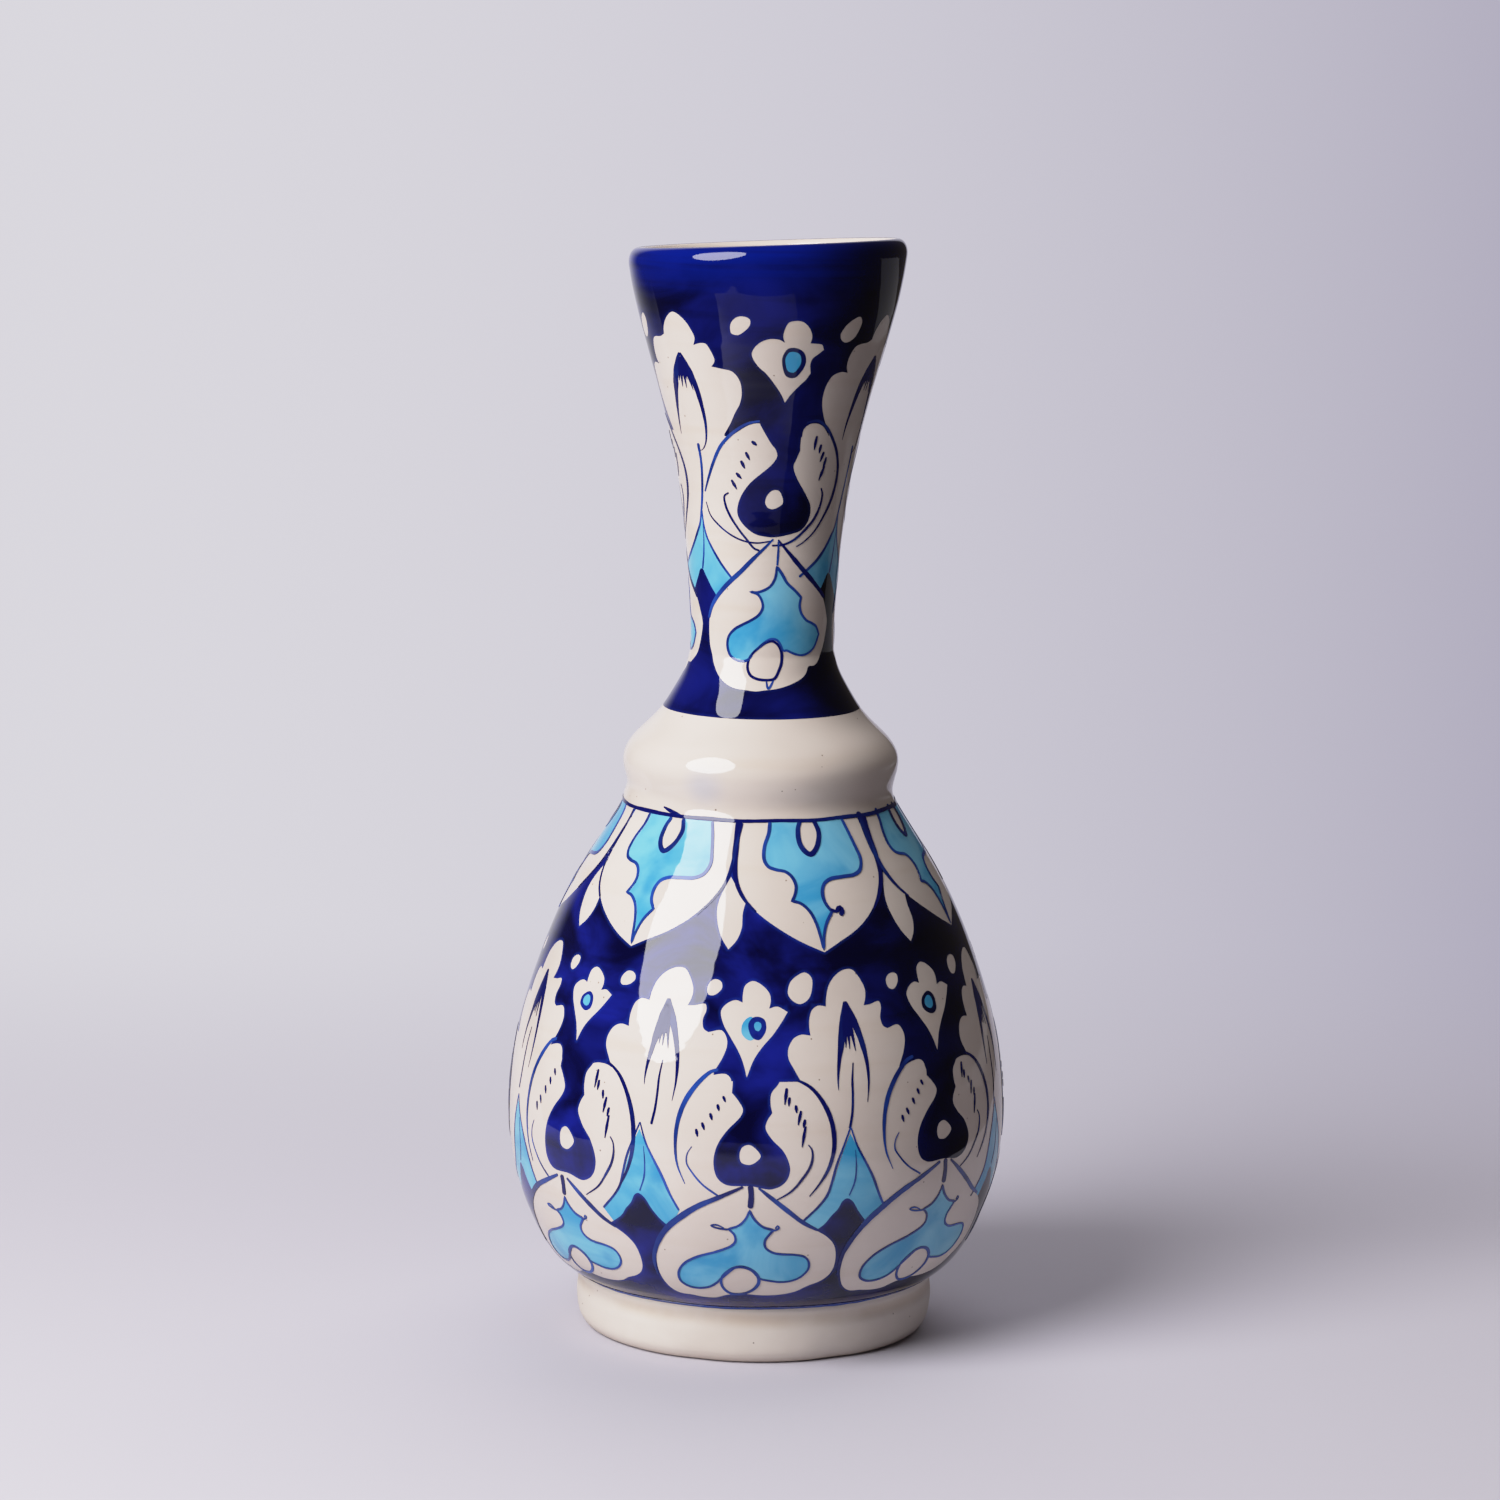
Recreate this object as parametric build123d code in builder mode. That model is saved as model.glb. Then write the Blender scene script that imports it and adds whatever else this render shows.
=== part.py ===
"""Bottle vase in glazed pottery: four thrown clay sections on a turned foot, luted with slip.

The vase stands on z = 0 with its axis on Z, and lengths are in millimetres.
An outline is a list of (radius, height) stations.
"""
import math
import os

from build123d import *

os.makedirs("parts", exist_ok=True)

# ---- driving dimensions ------------------------------------------------------------------------
foot_height = 16.0
foot_radius = 49.4
foot_taper = 0.5  # the turned foot is this much narrower at its base
foot_width = 11.4  # of the ring that the vase stands on
foot_rounding_outside = 4.0  # worn round by handling
foot_rounding_inside = 2.0
spigot_height = 7.0  # boss under the floor that locates the body in the foot ring
floor_thickness = 7.0

slip = 0.6  # thickness of the slip in every joint
seam_angle = 30.0  # degrees that a seam rises from outside to inside, so the sections centre

rim_height = 300.0  # at the centre of the mouth
rim_tilt = 3.45  # degrees: the rim was cut off by hand, and isn't level
rim_high_side = -40.0  # degrees from +X towards +Y
lip_rounding_outside = 3.3  # the lip rolls over outwards
lip_rounding_inside = 1.4
trim = 8.0  # clay that the rim's cut takes away

# Outside, from the foot to the groove under the collar
belly_stations = [
    (foot_radius, foot_height),
    (55.3, 20.0),
    (62.2, 31.0),
    (66.9, 45.0),
    (68.6, 60.0),
    (66.6, 81.0),
    (60.3, 103.0),
    (50.2, 126.0),
    (38.4, 145.0),
    (35.5, 150.0),
]
# Outside, from the groove over the collar's bulge to the narrowest place of the neck
collar_stations = [
    (35.5, 150.0),
    (37.2, 155.0),
    (37.6, 159.5),
    (35.2, 164.4),
    (30.6, 169.0),
    (26.9, 173.2),
    (24.5, 177.0),
    (22.1, 181.2),
    (20.5, 185.0),
    (19.72, 188.0),
    (19.5, 191.0),
]
# Outside, from there to the flared mouth
neck_stations = [
    (19.5, 191.0),
    (20.5, 212.0),
    (23.8, 238.0),
    (29.5, 262.3),
    (36.0, 286.0),
    (38.9, rim_height + trim),
]
# Inside, from the mouth down to the middle of the floor
inside_stations = [
    (34.0, rim_height + trim),
    (31.2, 286.0),
    (24.8, 262.3),
    (19.2, 238.0),
    (15.8, 212.0),
    (14.7, 191.0),
    (19.2, 177.5),
    (28.5, 165.0),
    (31.0, 153.0),
    (36.5, 140.0),
    (45.6, 124.5),
    (55.4, 102.0),
    (61.6, 81.0),
    (63.6, 60.0),
    (61.6, 43.0),
    (54.5, 28.0),
    (40.0, 19.0),
    (0.0, foot_height - spigot_height + floor_thickness),
]
# Where each seam shows outside
waist_seam = (56.3, 113.0)
shoulder_seam = collar_stations[0]
neck_seam = collar_stations[5]

# ---- worked out from them ----------------------------------------------------------------------
ring_bore = foot_radius - foot_width
spigot_radius = ring_bore - slip
spigot_base = foot_height - spigot_height
seam_rise = math.tan(math.radians(seam_angle))
reach = 90.0  # past the widest radius
top = rim_height + trim + 1.0


def seam_line(seam, lift=0.0):
    """Ends of a seam's line through the wall, on the axis and out past the vase."""
    radius, height = seam
    on_axis = height + lift + seam_rise * radius
    return (0, on_axis), (reach, on_axis - seam_rise * reach)


def slice_of_wall(lower_line, upper_line):
    """The corners, in order, of the slice between two such lines."""
    return [lower_line[0], lower_line[1], upper_line[1], upper_line[0]]


# Every piece above the foot is a slice of this one wall, so that the pieces mate face to face.
with BuildSketch(Plane.XZ) as wall:
    with BuildLine():
        Polyline(
            (0, spigot_base),
            (spigot_radius, spigot_base),
            (spigot_radius, foot_height),
            (foot_radius, foot_height),
        )
        Spline(*belly_stations)
        Spline(*collar_stations, tangents=[(1, 2), (0, 1)])
        Spline(*neck_stations, tangents=[(0, 1), (1, 14)])
        Line(neck_stations[-1], inside_stations[0])
        Spline(*inside_stations, tangents=[(-1, -14), (-1, 0)])
        Line(inside_stations[-1], (0, spigot_base))
    make_face()

below = ((0, 0), (reach, 0))
above = ((0, top), (reach, top))
slices = {
    "lower_body": (below, seam_line(waist_seam)),
    "waist_slip_joint": (seam_line(waist_seam), seam_line(waist_seam, slip)),
    "upper_body": (seam_line(waist_seam, slip), seam_line(shoulder_seam)),
    "shoulder_slip_joint": (seam_line(shoulder_seam), seam_line(shoulder_seam, slip)),
    "collar": (seam_line(shoulder_seam, slip), seam_line(neck_seam)),
    "neck_slip_joint": (seam_line(neck_seam), seam_line(neck_seam, slip)),
}
for name, (lower_line, upper_line) in slices.items():
    with BuildPart() as section:
        with BuildSketch(Plane.XZ):
            add(wall.sketch)
            with BuildLine():
                Polyline(*slice_of_wall(lower_line, upper_line), close=True)
            make_face(mode=Mode.INTERSECT)
        revolve(axis=Axis.Z)
    section.part.label = name
    export_step(section.part, f"parts/{name}.step")

# ---- neck: the top slice, cut off by hand at a slant and rounded with a wet sponge --------------
tilt_axis = Vector(1, 0, 0).rotate(Axis.Z, rim_high_side + 90)
rim_plane = Plane(
    origin=(0, 0, rim_height),
    x_dir=tilt_axis,
    z_dir=Vector(0, 0, 1).rotate(Axis((0, 0, 0), tilt_axis), -rim_tilt),
)
with BuildPart() as neck:
    with BuildSketch(Plane.XZ):
        add(wall.sketch)
        with BuildLine():
            Polyline(*slice_of_wall(seam_line(neck_seam, slip), above), close=True)
        make_face(mode=Mode.INTERSECT)
    revolve(axis=Axis.Z)
    split(bisect_by=rim_plane, keep=Keep.BOTTOM)
    fillet(neck.faces().sort_by(Axis.Z)[-1].outer_wire().edges(), lip_rounding_outside)
    lip = neck.faces().filter_by(GeomType.PLANE).sort_by(Axis.Z)[-1]
    fillet(lip.inner_wires()[0].edges(), lip_rounding_inside)
neck.part.label = "neck"
export_step(neck.part, "parts/neck.step")

# ---- foot ring, turned once the clay is firm -----------------------------------------------------
seat_height = foot_height - slip
with BuildPart() as foot_ring:
    with BuildSketch(Plane.XZ):
        with BuildLine():
            Polyline(
                (ring_bore, 0),
                (foot_radius - foot_taper, 0),
                (foot_radius, seat_height),
                (ring_bore, seat_height),
                close=True,
            )
        make_face()
    revolve(axis=Axis.Z)
    standing_face = foot_ring.faces().sort_by(Axis.Z)[0]
    fillet(standing_face.outer_wire().edges(), foot_rounding_outside)
    standing_face = foot_ring.faces().sort_by(Axis.Z)[0]
    fillet(standing_face.inner_wires()[0].edges(), foot_rounding_inside)
foot_ring.part.label = "foot_ring"
export_step(foot_ring.part, "parts/foot_ring.step")

# ---- slip under the body's seat and round its spigot ---------------------------------------------
with BuildPart() as foot_slip_joint:
    with BuildSketch(Plane.XZ):
        with BuildLine():
            Polyline(
                (spigot_radius, spigot_base),
                (ring_bore, spigot_base),
                (ring_bore, seat_height),
                (foot_radius, seat_height),
                (foot_radius, foot_height),
                (spigot_radius, foot_height),
                close=True,
            )
        make_face()
    revolve(axis=Axis.Z)
foot_slip_joint.part.label = "foot_slip_joint"
export_step(foot_slip_joint.part, "parts/foot_slip_joint.step")
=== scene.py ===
import math

import bpy
import numpy as np
from mathutils import Euler, Matrix, Vector, noise
from mathutils.bvhtree import BVHTree
from mathutils.geometry import delaunay_2d_cdt
from mathutils.kdtree import KDTree


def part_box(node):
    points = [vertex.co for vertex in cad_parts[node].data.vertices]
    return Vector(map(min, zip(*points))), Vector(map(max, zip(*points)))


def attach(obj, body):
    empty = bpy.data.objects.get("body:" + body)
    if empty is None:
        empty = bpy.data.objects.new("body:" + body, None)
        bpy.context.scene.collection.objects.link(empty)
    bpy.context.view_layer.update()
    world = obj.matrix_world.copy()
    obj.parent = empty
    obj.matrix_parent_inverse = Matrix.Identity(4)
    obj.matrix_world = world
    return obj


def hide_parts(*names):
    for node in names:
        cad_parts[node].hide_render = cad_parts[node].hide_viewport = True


# Looks of the painted bottle vase: clay sections, brushed underglaze paint and clear glaze.
# A place on the vase is (turn, height): turn in degrees round the axis, 0 at the front (-Y) and
# growing towards +X, and height in millimetres. Meshes are made in metres.

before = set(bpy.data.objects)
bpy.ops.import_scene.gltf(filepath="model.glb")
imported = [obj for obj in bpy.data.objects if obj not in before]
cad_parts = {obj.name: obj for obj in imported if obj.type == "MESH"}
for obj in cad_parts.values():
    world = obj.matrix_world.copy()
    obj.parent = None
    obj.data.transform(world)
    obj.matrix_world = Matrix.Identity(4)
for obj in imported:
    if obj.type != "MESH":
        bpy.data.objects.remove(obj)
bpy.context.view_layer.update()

MM = 0.001
BODY = "root"
C = "corner"  # marks an outline's point where the outline turns sharply

# ---- fineness of the meshes ----
SECTION_SIDES = 288
ROW = 1.5  # mm between rows of the clay meshes, and less where the wall curves tightly
INNER_ROW = 2.5
RIM_ROW = 0.3
CHORD_ERROR = 0.004  # mm
PAINT_GRID = 1.5
OUTLINE_STEP = 0.7
LINE_STEP = 0.6

# ---- thickness of what lies on the clay, in mm ----
PAINT_TOP = 0.04
PAINT_BASE = -0.06
LINE_TOP = 0.07
LINE_BASE = -0.03
LINE_WIDTH = 1.2  # the brush's fullness
LINE_RISE = 0.0004  # each line lies this much higher than the one before it

# ---- where the painted zones end ----
BODY_PAINT = (15.95, 147.3)
NECK_PAINT = (173.25, 300.0)
BODY_DEGREE = 1.05  # mm round the wall in one degree, where drawings are spaced as on paper
NECK_DEGREE = 0.47

# ---- the foot, in mm ----
BORE = 38.0  # radius inside the foot ring
BORE_ROUNDING = 2.0
SPIGOT = 37.4  # radius of what the body stands in it with


# ==== the wall, read off the CAD model ====
def cad_tree():
    points = []
    faces = []
    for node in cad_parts.values():
        first = len(points)
        points += [vertex.co.copy() for vertex in node.data.vertices]
        faces += [[first + i for i in polygon.vertices] for polygon in node.data.polygons]
    return BVHTree.FromPolygons(points, faces), np.array(points) / MM


def hit_radius(height, outside):
    """Radius in mm of the wall's outside or inside, on the side where the rim is highest."""
    out = Vector((math.sin(HIGH_TURN), -math.cos(HIGH_TURN), 0))
    start = Vector((0, 0, height * MM))
    if outside:
        hit = TREE.ray_cast(start + out * 0.3, -out)[0]
    else:
        hit = TREE.ray_cast(start, out)[0]
    return math.hypot(hit.x, hit.y) / MM


def crest_height(turn, radius):
    """Height in mm of the lip at that turn."""
    x = math.sin(math.radians(turn)) * radius * MM
    y = -math.cos(math.radians(turn)) * radius * MM
    return TREE.ray_cast(Vector((x, y, 1)), Vector((0, 0, -1)))[0].z / MM


def spline_table(heights, radii, at):
    """Radii at the heights `at`, on a natural cubic spline through the given stations."""
    step = np.diff(heights)
    slope = np.diff(radii) / step
    count = len(heights)
    matrix = np.eye(count)
    right = np.zeros(count)
    for i in range(1, count - 1):
        matrix[i, i - 1] = step[i - 1]
        matrix[i, i] = 2 * (step[i - 1] + step[i])
        matrix[i, i + 1] = step[i]
        right[i] = 6 * (slope[i] - slope[i - 1])
    bend = np.linalg.solve(matrix, right)
    i = np.clip(np.searchsorted(heights, at) - 1, 0, count - 2)
    near = at - heights[i]
    far = heights[i + 1] - at
    cubic = (bend[i] * far**3 + bend[i + 1] * near**3) / (6 * step[i])
    line = radii[i] * far / step[i] + radii[i + 1] * near / step[i]
    return cubic + line - step[i] / 6 * (bend[i] * far + bend[i + 1] * near)


def stations(low, high, outside):
    """The CAD model's own points on one side of the wall, thinned out, as heights and radii."""
    heights = np.arange(low, high, 0.5)
    rays = np.array([hit_radius(h, outside) for h in heights])
    level = CAD_POINTS[:, 2]
    radius = np.hypot(CAD_POINTS[:, 0], CAD_POINTS[:, 1])
    near = (level >= low - 0.01) & (level <= high + 0.01)
    near &= np.abs(radius - np.interp(level, heights, rays)) < 0.07
    kept = sorted({(round(z, 2), round(r, 3)) for z, r in zip(level[near], radius[near])})
    chosen = [kept[0]]
    for z, r in kept:
        if z - chosen[-1][0] >= 1.3:
            chosen.append((z, r))
        elif z - chosen[-1][0] < 0.02 and r > chosen[-1][1]:
            chosen[-1] = (z, r)
    return np.array(chosen).T


HIGH_TURN = math.radians(50)  # where the rim is highest
TREE, CAD_POINTS = cad_tree()
FOOT_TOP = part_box("foot_slip_joint")[1].z / MM
FOOT_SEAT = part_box("foot_ring")[1].z / MM
FOOT_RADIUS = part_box("foot_ring")[1].x / MM
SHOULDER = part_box("shoulder_slip_joint")[0].z / MM
TABLE_STEP = 0.1
HEIGHTS = np.arange(0, 304, TABLE_STEP)


def outer_table():
    """Outside radius at each of HEIGHTS. The creases at the foot and the shoulder stay sharp."""
    spans = [(FOOT_TOP + 0.05, SHOULDER - 0.05), (SHOULDER + 0.05, 297.0)]
    radii = np.full(len(HEIGHTS), FOOT_RADIUS)
    for low, high in spans:
        z, r = stations(low, high, True)
        chosen = HEIGHTS >= low - 0.06
        radii[chosen] = spline_table(z, r, HEIGHTS[chosen])
    return carried_on(radii)


def inner_table():
    z, r = stations(FOOT_TOP + 2.5, 297.0, False)
    return carried_on(spline_table(z, r, np.maximum(HEIGHTS, z[0])))


def carried_on(radii):
    """The top of the wall goes on as a straight flare, and the lip is rounded over from it."""
    last = np.searchsorted(HEIGHTS, 296.0)
    slope = (radii[last] - radii[last - 40]) / (40 * TABLE_STEP)
    radii[last:] = radii[last] + slope * (HEIGHTS[last:] - HEIGHTS[last])
    return radii


def soften(radii, height, width):
    """Glaze pools in a crease, so the corner there is rounded over this width."""
    reach = int(width / TABLE_STEP)
    weights = np.hanning(2 * reach + 1)
    rounded = np.convolve(radii, weights / weights.sum(), "same")
    close = np.abs(HEIGHTS - height) < width
    return np.where(close, rounded, radii)


OUTER = soften(outer_table(), SHOULDER - 0.4, 5.4)
INNER = inner_table()
LIP_MIDDLE = (np.interp(298, HEIGHTS, OUTER) + np.interp(298, HEIGHTS, INNER)) / 2
CREST_TURNS = np.arange(0, 360, 15)
CRESTS = np.array([crest_height(turn, LIP_MIDDLE) for turn in CREST_TURNS])
CREST_MEAN = CRESTS.mean()
CREST_COS = 2 * (CRESTS * np.cos(np.radians(CREST_TURNS))).mean()
CREST_SIN = 2 * (CRESTS * np.sin(np.radians(CREST_TURNS))).mean()
RIM = 300.0  # the height that drawings give the lip's crest, all the way round
LIP_TALL = 4.8  # the lip rolls over outwards from this far below its crest
LIP_WIDE = 3.4  # and its crest is this far in from the outside
LIP_INSIDE = 1.6  # its inner edge is rounded over this height
LIP_LOW = RIM - LIP_TALL
LEVEL_BELOW = 286.0  # drawings above this follow the slanted rim


def crest(turn):
    angle = np.radians(turn)
    return CREST_MEAN + CREST_COS * np.cos(angle) + CREST_SIN * np.sin(angle)


def turned_by(degrees):
    """The same turn between -180 and 180."""
    return (degrees + 180) % 360 - 180


def out_of_round(turn, height):
    """How far hand throwing left the wall from true, in mm."""
    angle = np.radians(turn)
    slow = 0.13 * np.cos(2 * angle + 1.0 + 0.011 * height)
    slow = slow + 0.07 * np.cos(3 * angle - 0.8 - 0.019 * height)
    slow = slow + 0.04 * np.cos(5 * angle + 2.1 + 0.03 * height)
    rings = 0.012 * np.sin(height * 0.62 + angle) + 0.003 * np.sin(height * 1.9 - angle + 1.3)
    away = turned_by(turn + 90)
    smeared = 0.9 * np.exp(-((away / 38) ** 2)) * np.exp(-(((height - 149.0) / 2.4) ** 2))
    return slow + rings + smeared


def wall(turn, height):
    """Radius and height in mm of the wall at a drawing's place.

    The lip's rounding begins at LIP_LOW, its crest is at RIM, and RIM + LIP_INSIDE is where the
    inside of the mouth begins.
    """
    turn, height = np.broadcast_arrays(np.asarray(turn, float), np.asarray(height, float))
    top = crest(turn)
    stretch = (top - LIP_TALL - LEVEL_BELOW) / (LIP_LOW - LEVEL_BELOW)
    level = np.where(height > LEVEL_BELOW, LEVEL_BELOW + (height - LEVEL_BELOW) * stretch, height)
    level = np.minimum(level, top - LIP_TALL)
    over = np.clip((height - LIP_LOW) / LIP_TALL, 0, 1) * math.pi / 2
    back = np.clip((height - RIM) / LIP_INSIDE, 0, 1) * math.pi / 2
    z = level + LIP_TALL * np.sin(over) - LIP_INSIDE * (1 - np.cos(back))
    outer = np.interp(level, HEIGHTS, OUTER)
    thick = outer - np.interp(level, HEIGHTS, INNER)
    lean = (OUTER[-1] - OUTER[-30]) / (29 * TABLE_STEP)
    radius = outer - LIP_WIDE * (1 - np.cos(over)) - (thick - LIP_WIDE) * np.sin(back)
    return radius + lean * (z - level) + out_of_round(turn, z), z


def points_at(turn, height):
    return around(turn, *wall(turn, height))


def around(turn, radius, z):
    angle = np.radians(turn)
    return np.stack([radius * np.sin(angle), -radius * np.cos(angle), z], -1)


def surface(turn, height, lift=0.0):
    """Points in metres on the outside, lifted off it by `lift` mm, and the outward normals."""
    turn = np.asarray(turn, float)
    height = np.asarray(height, float)
    across = points_at(turn + 0.3, height) - points_at(turn - 0.3, height)
    up = points_at(turn, height + 0.15) - points_at(turn, height - 0.15)
    normal = np.cross(across, up)
    normal /= np.linalg.norm(normal, axis=-1, keepdims=True)
    lift = np.asarray(lift, float)
    if lift.ndim:
        lift = lift[..., None]
    return (points_at(turn, height) + normal * lift) * MM, normal


def slope_at(height):
    return (np.interp(height + 0.2, HEIGHTS, OUTER) - np.interp(height - 0.2, HEIGHTS, OUTER)) / 0.4


def rows(low, high, spacing):
    """Heights from low to high, closer together where the wall curves or leans."""
    heights = [low]
    while heights[-1] < high:
        z = heights[-1]
        lean = math.hypot(1, slope_at(z))
        bend = abs(slope_at(z + 0.6) - slope_at(z - 0.3)) / 0.9 / lean**3
        step = min(spacing, math.sqrt(8 * CHORD_ERROR / max(bend, 1e-6))) / lean
        if z > LIP_LOW - 1.5:
            step = RIM_ROW
        heights.append(z + max(step, 0.2))
    heights[-1] = high
    if len(heights) > 2 and heights[-1] - heights[-2] < 0.3 * (heights[-2] - heights[-3]):
        del heights[-2]
    return heights


# ==== meshes ====
def new_object(name, points, faces):
    mesh = bpy.data.meshes.new(name)
    mesh.from_pydata([tuple(p) for p in points], [], faces)
    mesh.polygons.foreach_set("use_smooth", [True] * len(mesh.polygons))
    made = bpy.data.objects.new(name, mesh)
    bpy.context.scene.collection.objects.link(made)
    return made


def new_piece(name, points, faces):
    piece = new_object(name, points, faces)
    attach(piece, BODY)
    return piece


def revolved(name, rings, node):
    """A closed section of the vase from rings of points; a ring is (points, normals or None).

    The last ring joins the first, unless both are a single point on the axis. The piece stands for
    that CAD node.
    """
    points = []
    normals = []
    starts = []
    for ring, ring_normals in rings:
        starts.append(len(points))
        points += list(ring)
        normals += list(ring_normals) if ring_normals is not None else [None] * len(ring)
    faces = []
    closed = len(rings[0][0]) > 1
    for a in range(len(rings) if closed else len(rings) - 1):
        b = (a + 1) % len(rings)
        for i in range(SECTION_SIDES):
            j = (i + 1) % SECTION_SIDES
            if len(rings[a][0]) == 1:
                face = [starts[a], starts[b] + j, starts[b] + i]
            elif len(rings[b][0]) == 1:
                face = [starts[a] + i, starts[a] + j, starts[b]]
            else:
                face = [starts[a] + i, starts[a] + j, starts[b] + j, starts[b] + i]
            faces.append(face)
    piece = new_piece(name, points, faces)
    mesh = piece.data
    mesh.set_sharp_from_angle(angle=math.radians(35))
    loop_normals = []
    for polygon in mesh.polygons:
        own = [normals[i] for i in polygon.vertices]
        if any(n is None for n in own):
            own = [(0, 0, 0)] * len(own)
        loop_normals += [tuple(n) for n in own]
    mesh.normals_split_custom_set(loop_normals)
    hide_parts(node)
    return piece


TURNS = np.arange(SECTION_SIDES) * 360 / SECTION_SIDES


def outer_ring(height):
    return surface(TURNS, np.full(SECTION_SIDES, float(height)))


def plain_ring(radius, z):
    if np.isscalar(radius) and radius == 0:
        return [(0, 0, z * MM)], None
    return around(TURNS, radius + 0 * TURNS, z + 0 * TURNS) * MM, None


def inner_ring(z):
    """A ring on the inside of the wall, with the throwing marks that are deeper there."""
    radius = np.interp(z, HEIGHTS, INNER) + 0.12 * np.sin(np.asarray(z) * 1.1 + np.radians(TURNS))
    return plain_ring(radius, z)


def outer_rings(low, high):
    return [outer_ring(height) for height in rows(low, high, ROW)]


def inner_rings(high, low):
    count = max(1, int(round((high - low) / INNER_ROW)))
    return [inner_ring(high + (low - high) * i / count) for i in range(count + 1)]


SEAMS = {
    "waist_slip_joint": ("lower_body", "upper_body"),
    "shoulder_slip_joint": ("upper_body", "collar"),
    "neck_slip_joint": ("collar", "neck"),
}


def seam(name):
    """Heights of a slip joint's edges: outside low and high, inside low and high."""
    below, above = SEAMS[name]
    return (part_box(name)[0].z / MM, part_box(above)[0].z / MM,
            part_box(below)[1].z / MM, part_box(name)[1].z / MM)


def make_slip_joint(name):
    outside_low, outside_high, inside_low, inside_high = seam(name)
    rings = [outer_ring(outside_low), outer_ring(outside_high),
             inner_ring(inside_high), inner_ring(inside_low)]
    return revolved(name.replace("_slip_joint", "_slip"), rings, name)


def make_section(node, below, above):
    """A thrown section between two slip joints."""
    outside_low, inside_low = seam(below)[1], seam(below)[3]
    outside_high, inside_high = seam(above)[0], seam(above)[2]
    rings = outer_rings(outside_low, outside_high) + inner_rings(inside_high, inside_low)
    return revolved(node + "_clay", rings, node)


def make_lower_body():
    """The bowl of the body, with the spigot under its floor."""
    spigot_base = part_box("lower_body")[0].z / MM
    floor = TREE.ray_cast(Vector((0, 0, 0.1)), Vector((0, 0, -1)))[0].z / MM
    outside_high, inside_high = seam("waist_slip_joint")[0], seam("waist_slip_joint")[2]
    low_inside = FOOT_TOP + 3.0
    rings = [plain_ring(0, spigot_base), plain_ring(SPIGOT, spigot_base), plain_ring(SPIGOT, FOOT_TOP)]
    rings += outer_rings(FOOT_TOP, outside_high)
    rings += inner_rings(inside_high, low_inside)
    edge = float(np.interp(low_inside, HEIGHTS, INNER))
    for share in (0.8, 0.6, 0.4, 0.2):
        rings.append(plain_ring(edge * share, floor + (low_inside - floor) * share**3))
    rings.append(plain_ring(0, floor))
    return revolved("lower_body_clay", rings, "lower_body")


def make_neck():
    outside_low, inside_low = seam("neck_slip_joint")[1], seam("neck_slip_joint")[3]
    rings = outer_rings(outside_low, RIM + LIP_INSIDE)
    top = crest(TURNS) - LIP_INSIDE
    rings += [inner_ring(top + (inside_low - top) * (i / 60)) for i in range(1, 61)]
    return revolved("neck_clay", rings, "neck")


# The foot's outside: height and radius in mm
FOOT_PROFILE = [
    (0, 45.4), (0.4, 46.6), (1.2, 47.6), (2.4, 48.35), (4, 48.9), (6, 49.2), (8, 49.35), (9.8, 49.35),
    (11.2, 49.15), (12.3, 49.05), (13.2, 49.15), (14.4, 49.4),
]


def make_foot_ring():
    """The turned foot: worn at its lower edge, with a shallow groove under the body."""
    z, r = np.array(FOOT_PROFILE).T
    heights = np.concatenate([[0, 0.12, 0.3, 0.6], np.arange(1, FOOT_SEAT, 0.6)])
    rings = [foot_wall(radius, height) for height, radius in zip(heights, spline_table(z, r, heights))]
    rings.append(foot_wall(FOOT_RADIUS, FOOT_SEAT))
    rings.append(plain_ring(BORE, FOOT_SEAT))
    for angle in np.linspace(0, math.pi / 2, 9):
        rings.append(plain_ring(BORE + BORE_ROUNDING * (1 - math.cos(angle)),
                                BORE_ROUNDING * (1 - math.sin(angle))))
    return revolved("foot_ring_clay", rings, "foot_ring")


# Where the foot was knocked while it was soft: turn, depth in mm and spread in degrees
KNOCKS = [(-19, 0.55, 8), (27, 0.7, 7), (95, 0.4, 12), (160, 0.6, 9), (-120, 0.5, 10)]


def foot_wall(radius, z):
    """A ring of the foot, with its knocks."""
    flats = np.zeros(SECTION_SIDES)
    for turn, depth, spread in KNOCKS:
        away = turned_by(TURNS - turn)
        flats += depth * np.exp(-(away / spread) ** 2)
    return plain_ring(radius + out_of_round(TURNS, z) - flats * max(0, 1 - z / 8), z)


def make_foot_slip():
    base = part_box("foot_slip_joint")[0].z / MM
    rings = [plain_ring(SPIGOT, base), plain_ring(BORE, base), plain_ring(BORE, FOOT_SEAT),
             foot_wall(FOOT_RADIUS, FOOT_SEAT), foot_wall(FOOT_RADIUS, FOOT_TOP),
             plain_ring(SPIGOT, FOOT_TOP)]
    return revolved("foot_slip", rings, "foot_slip_joint")


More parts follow.
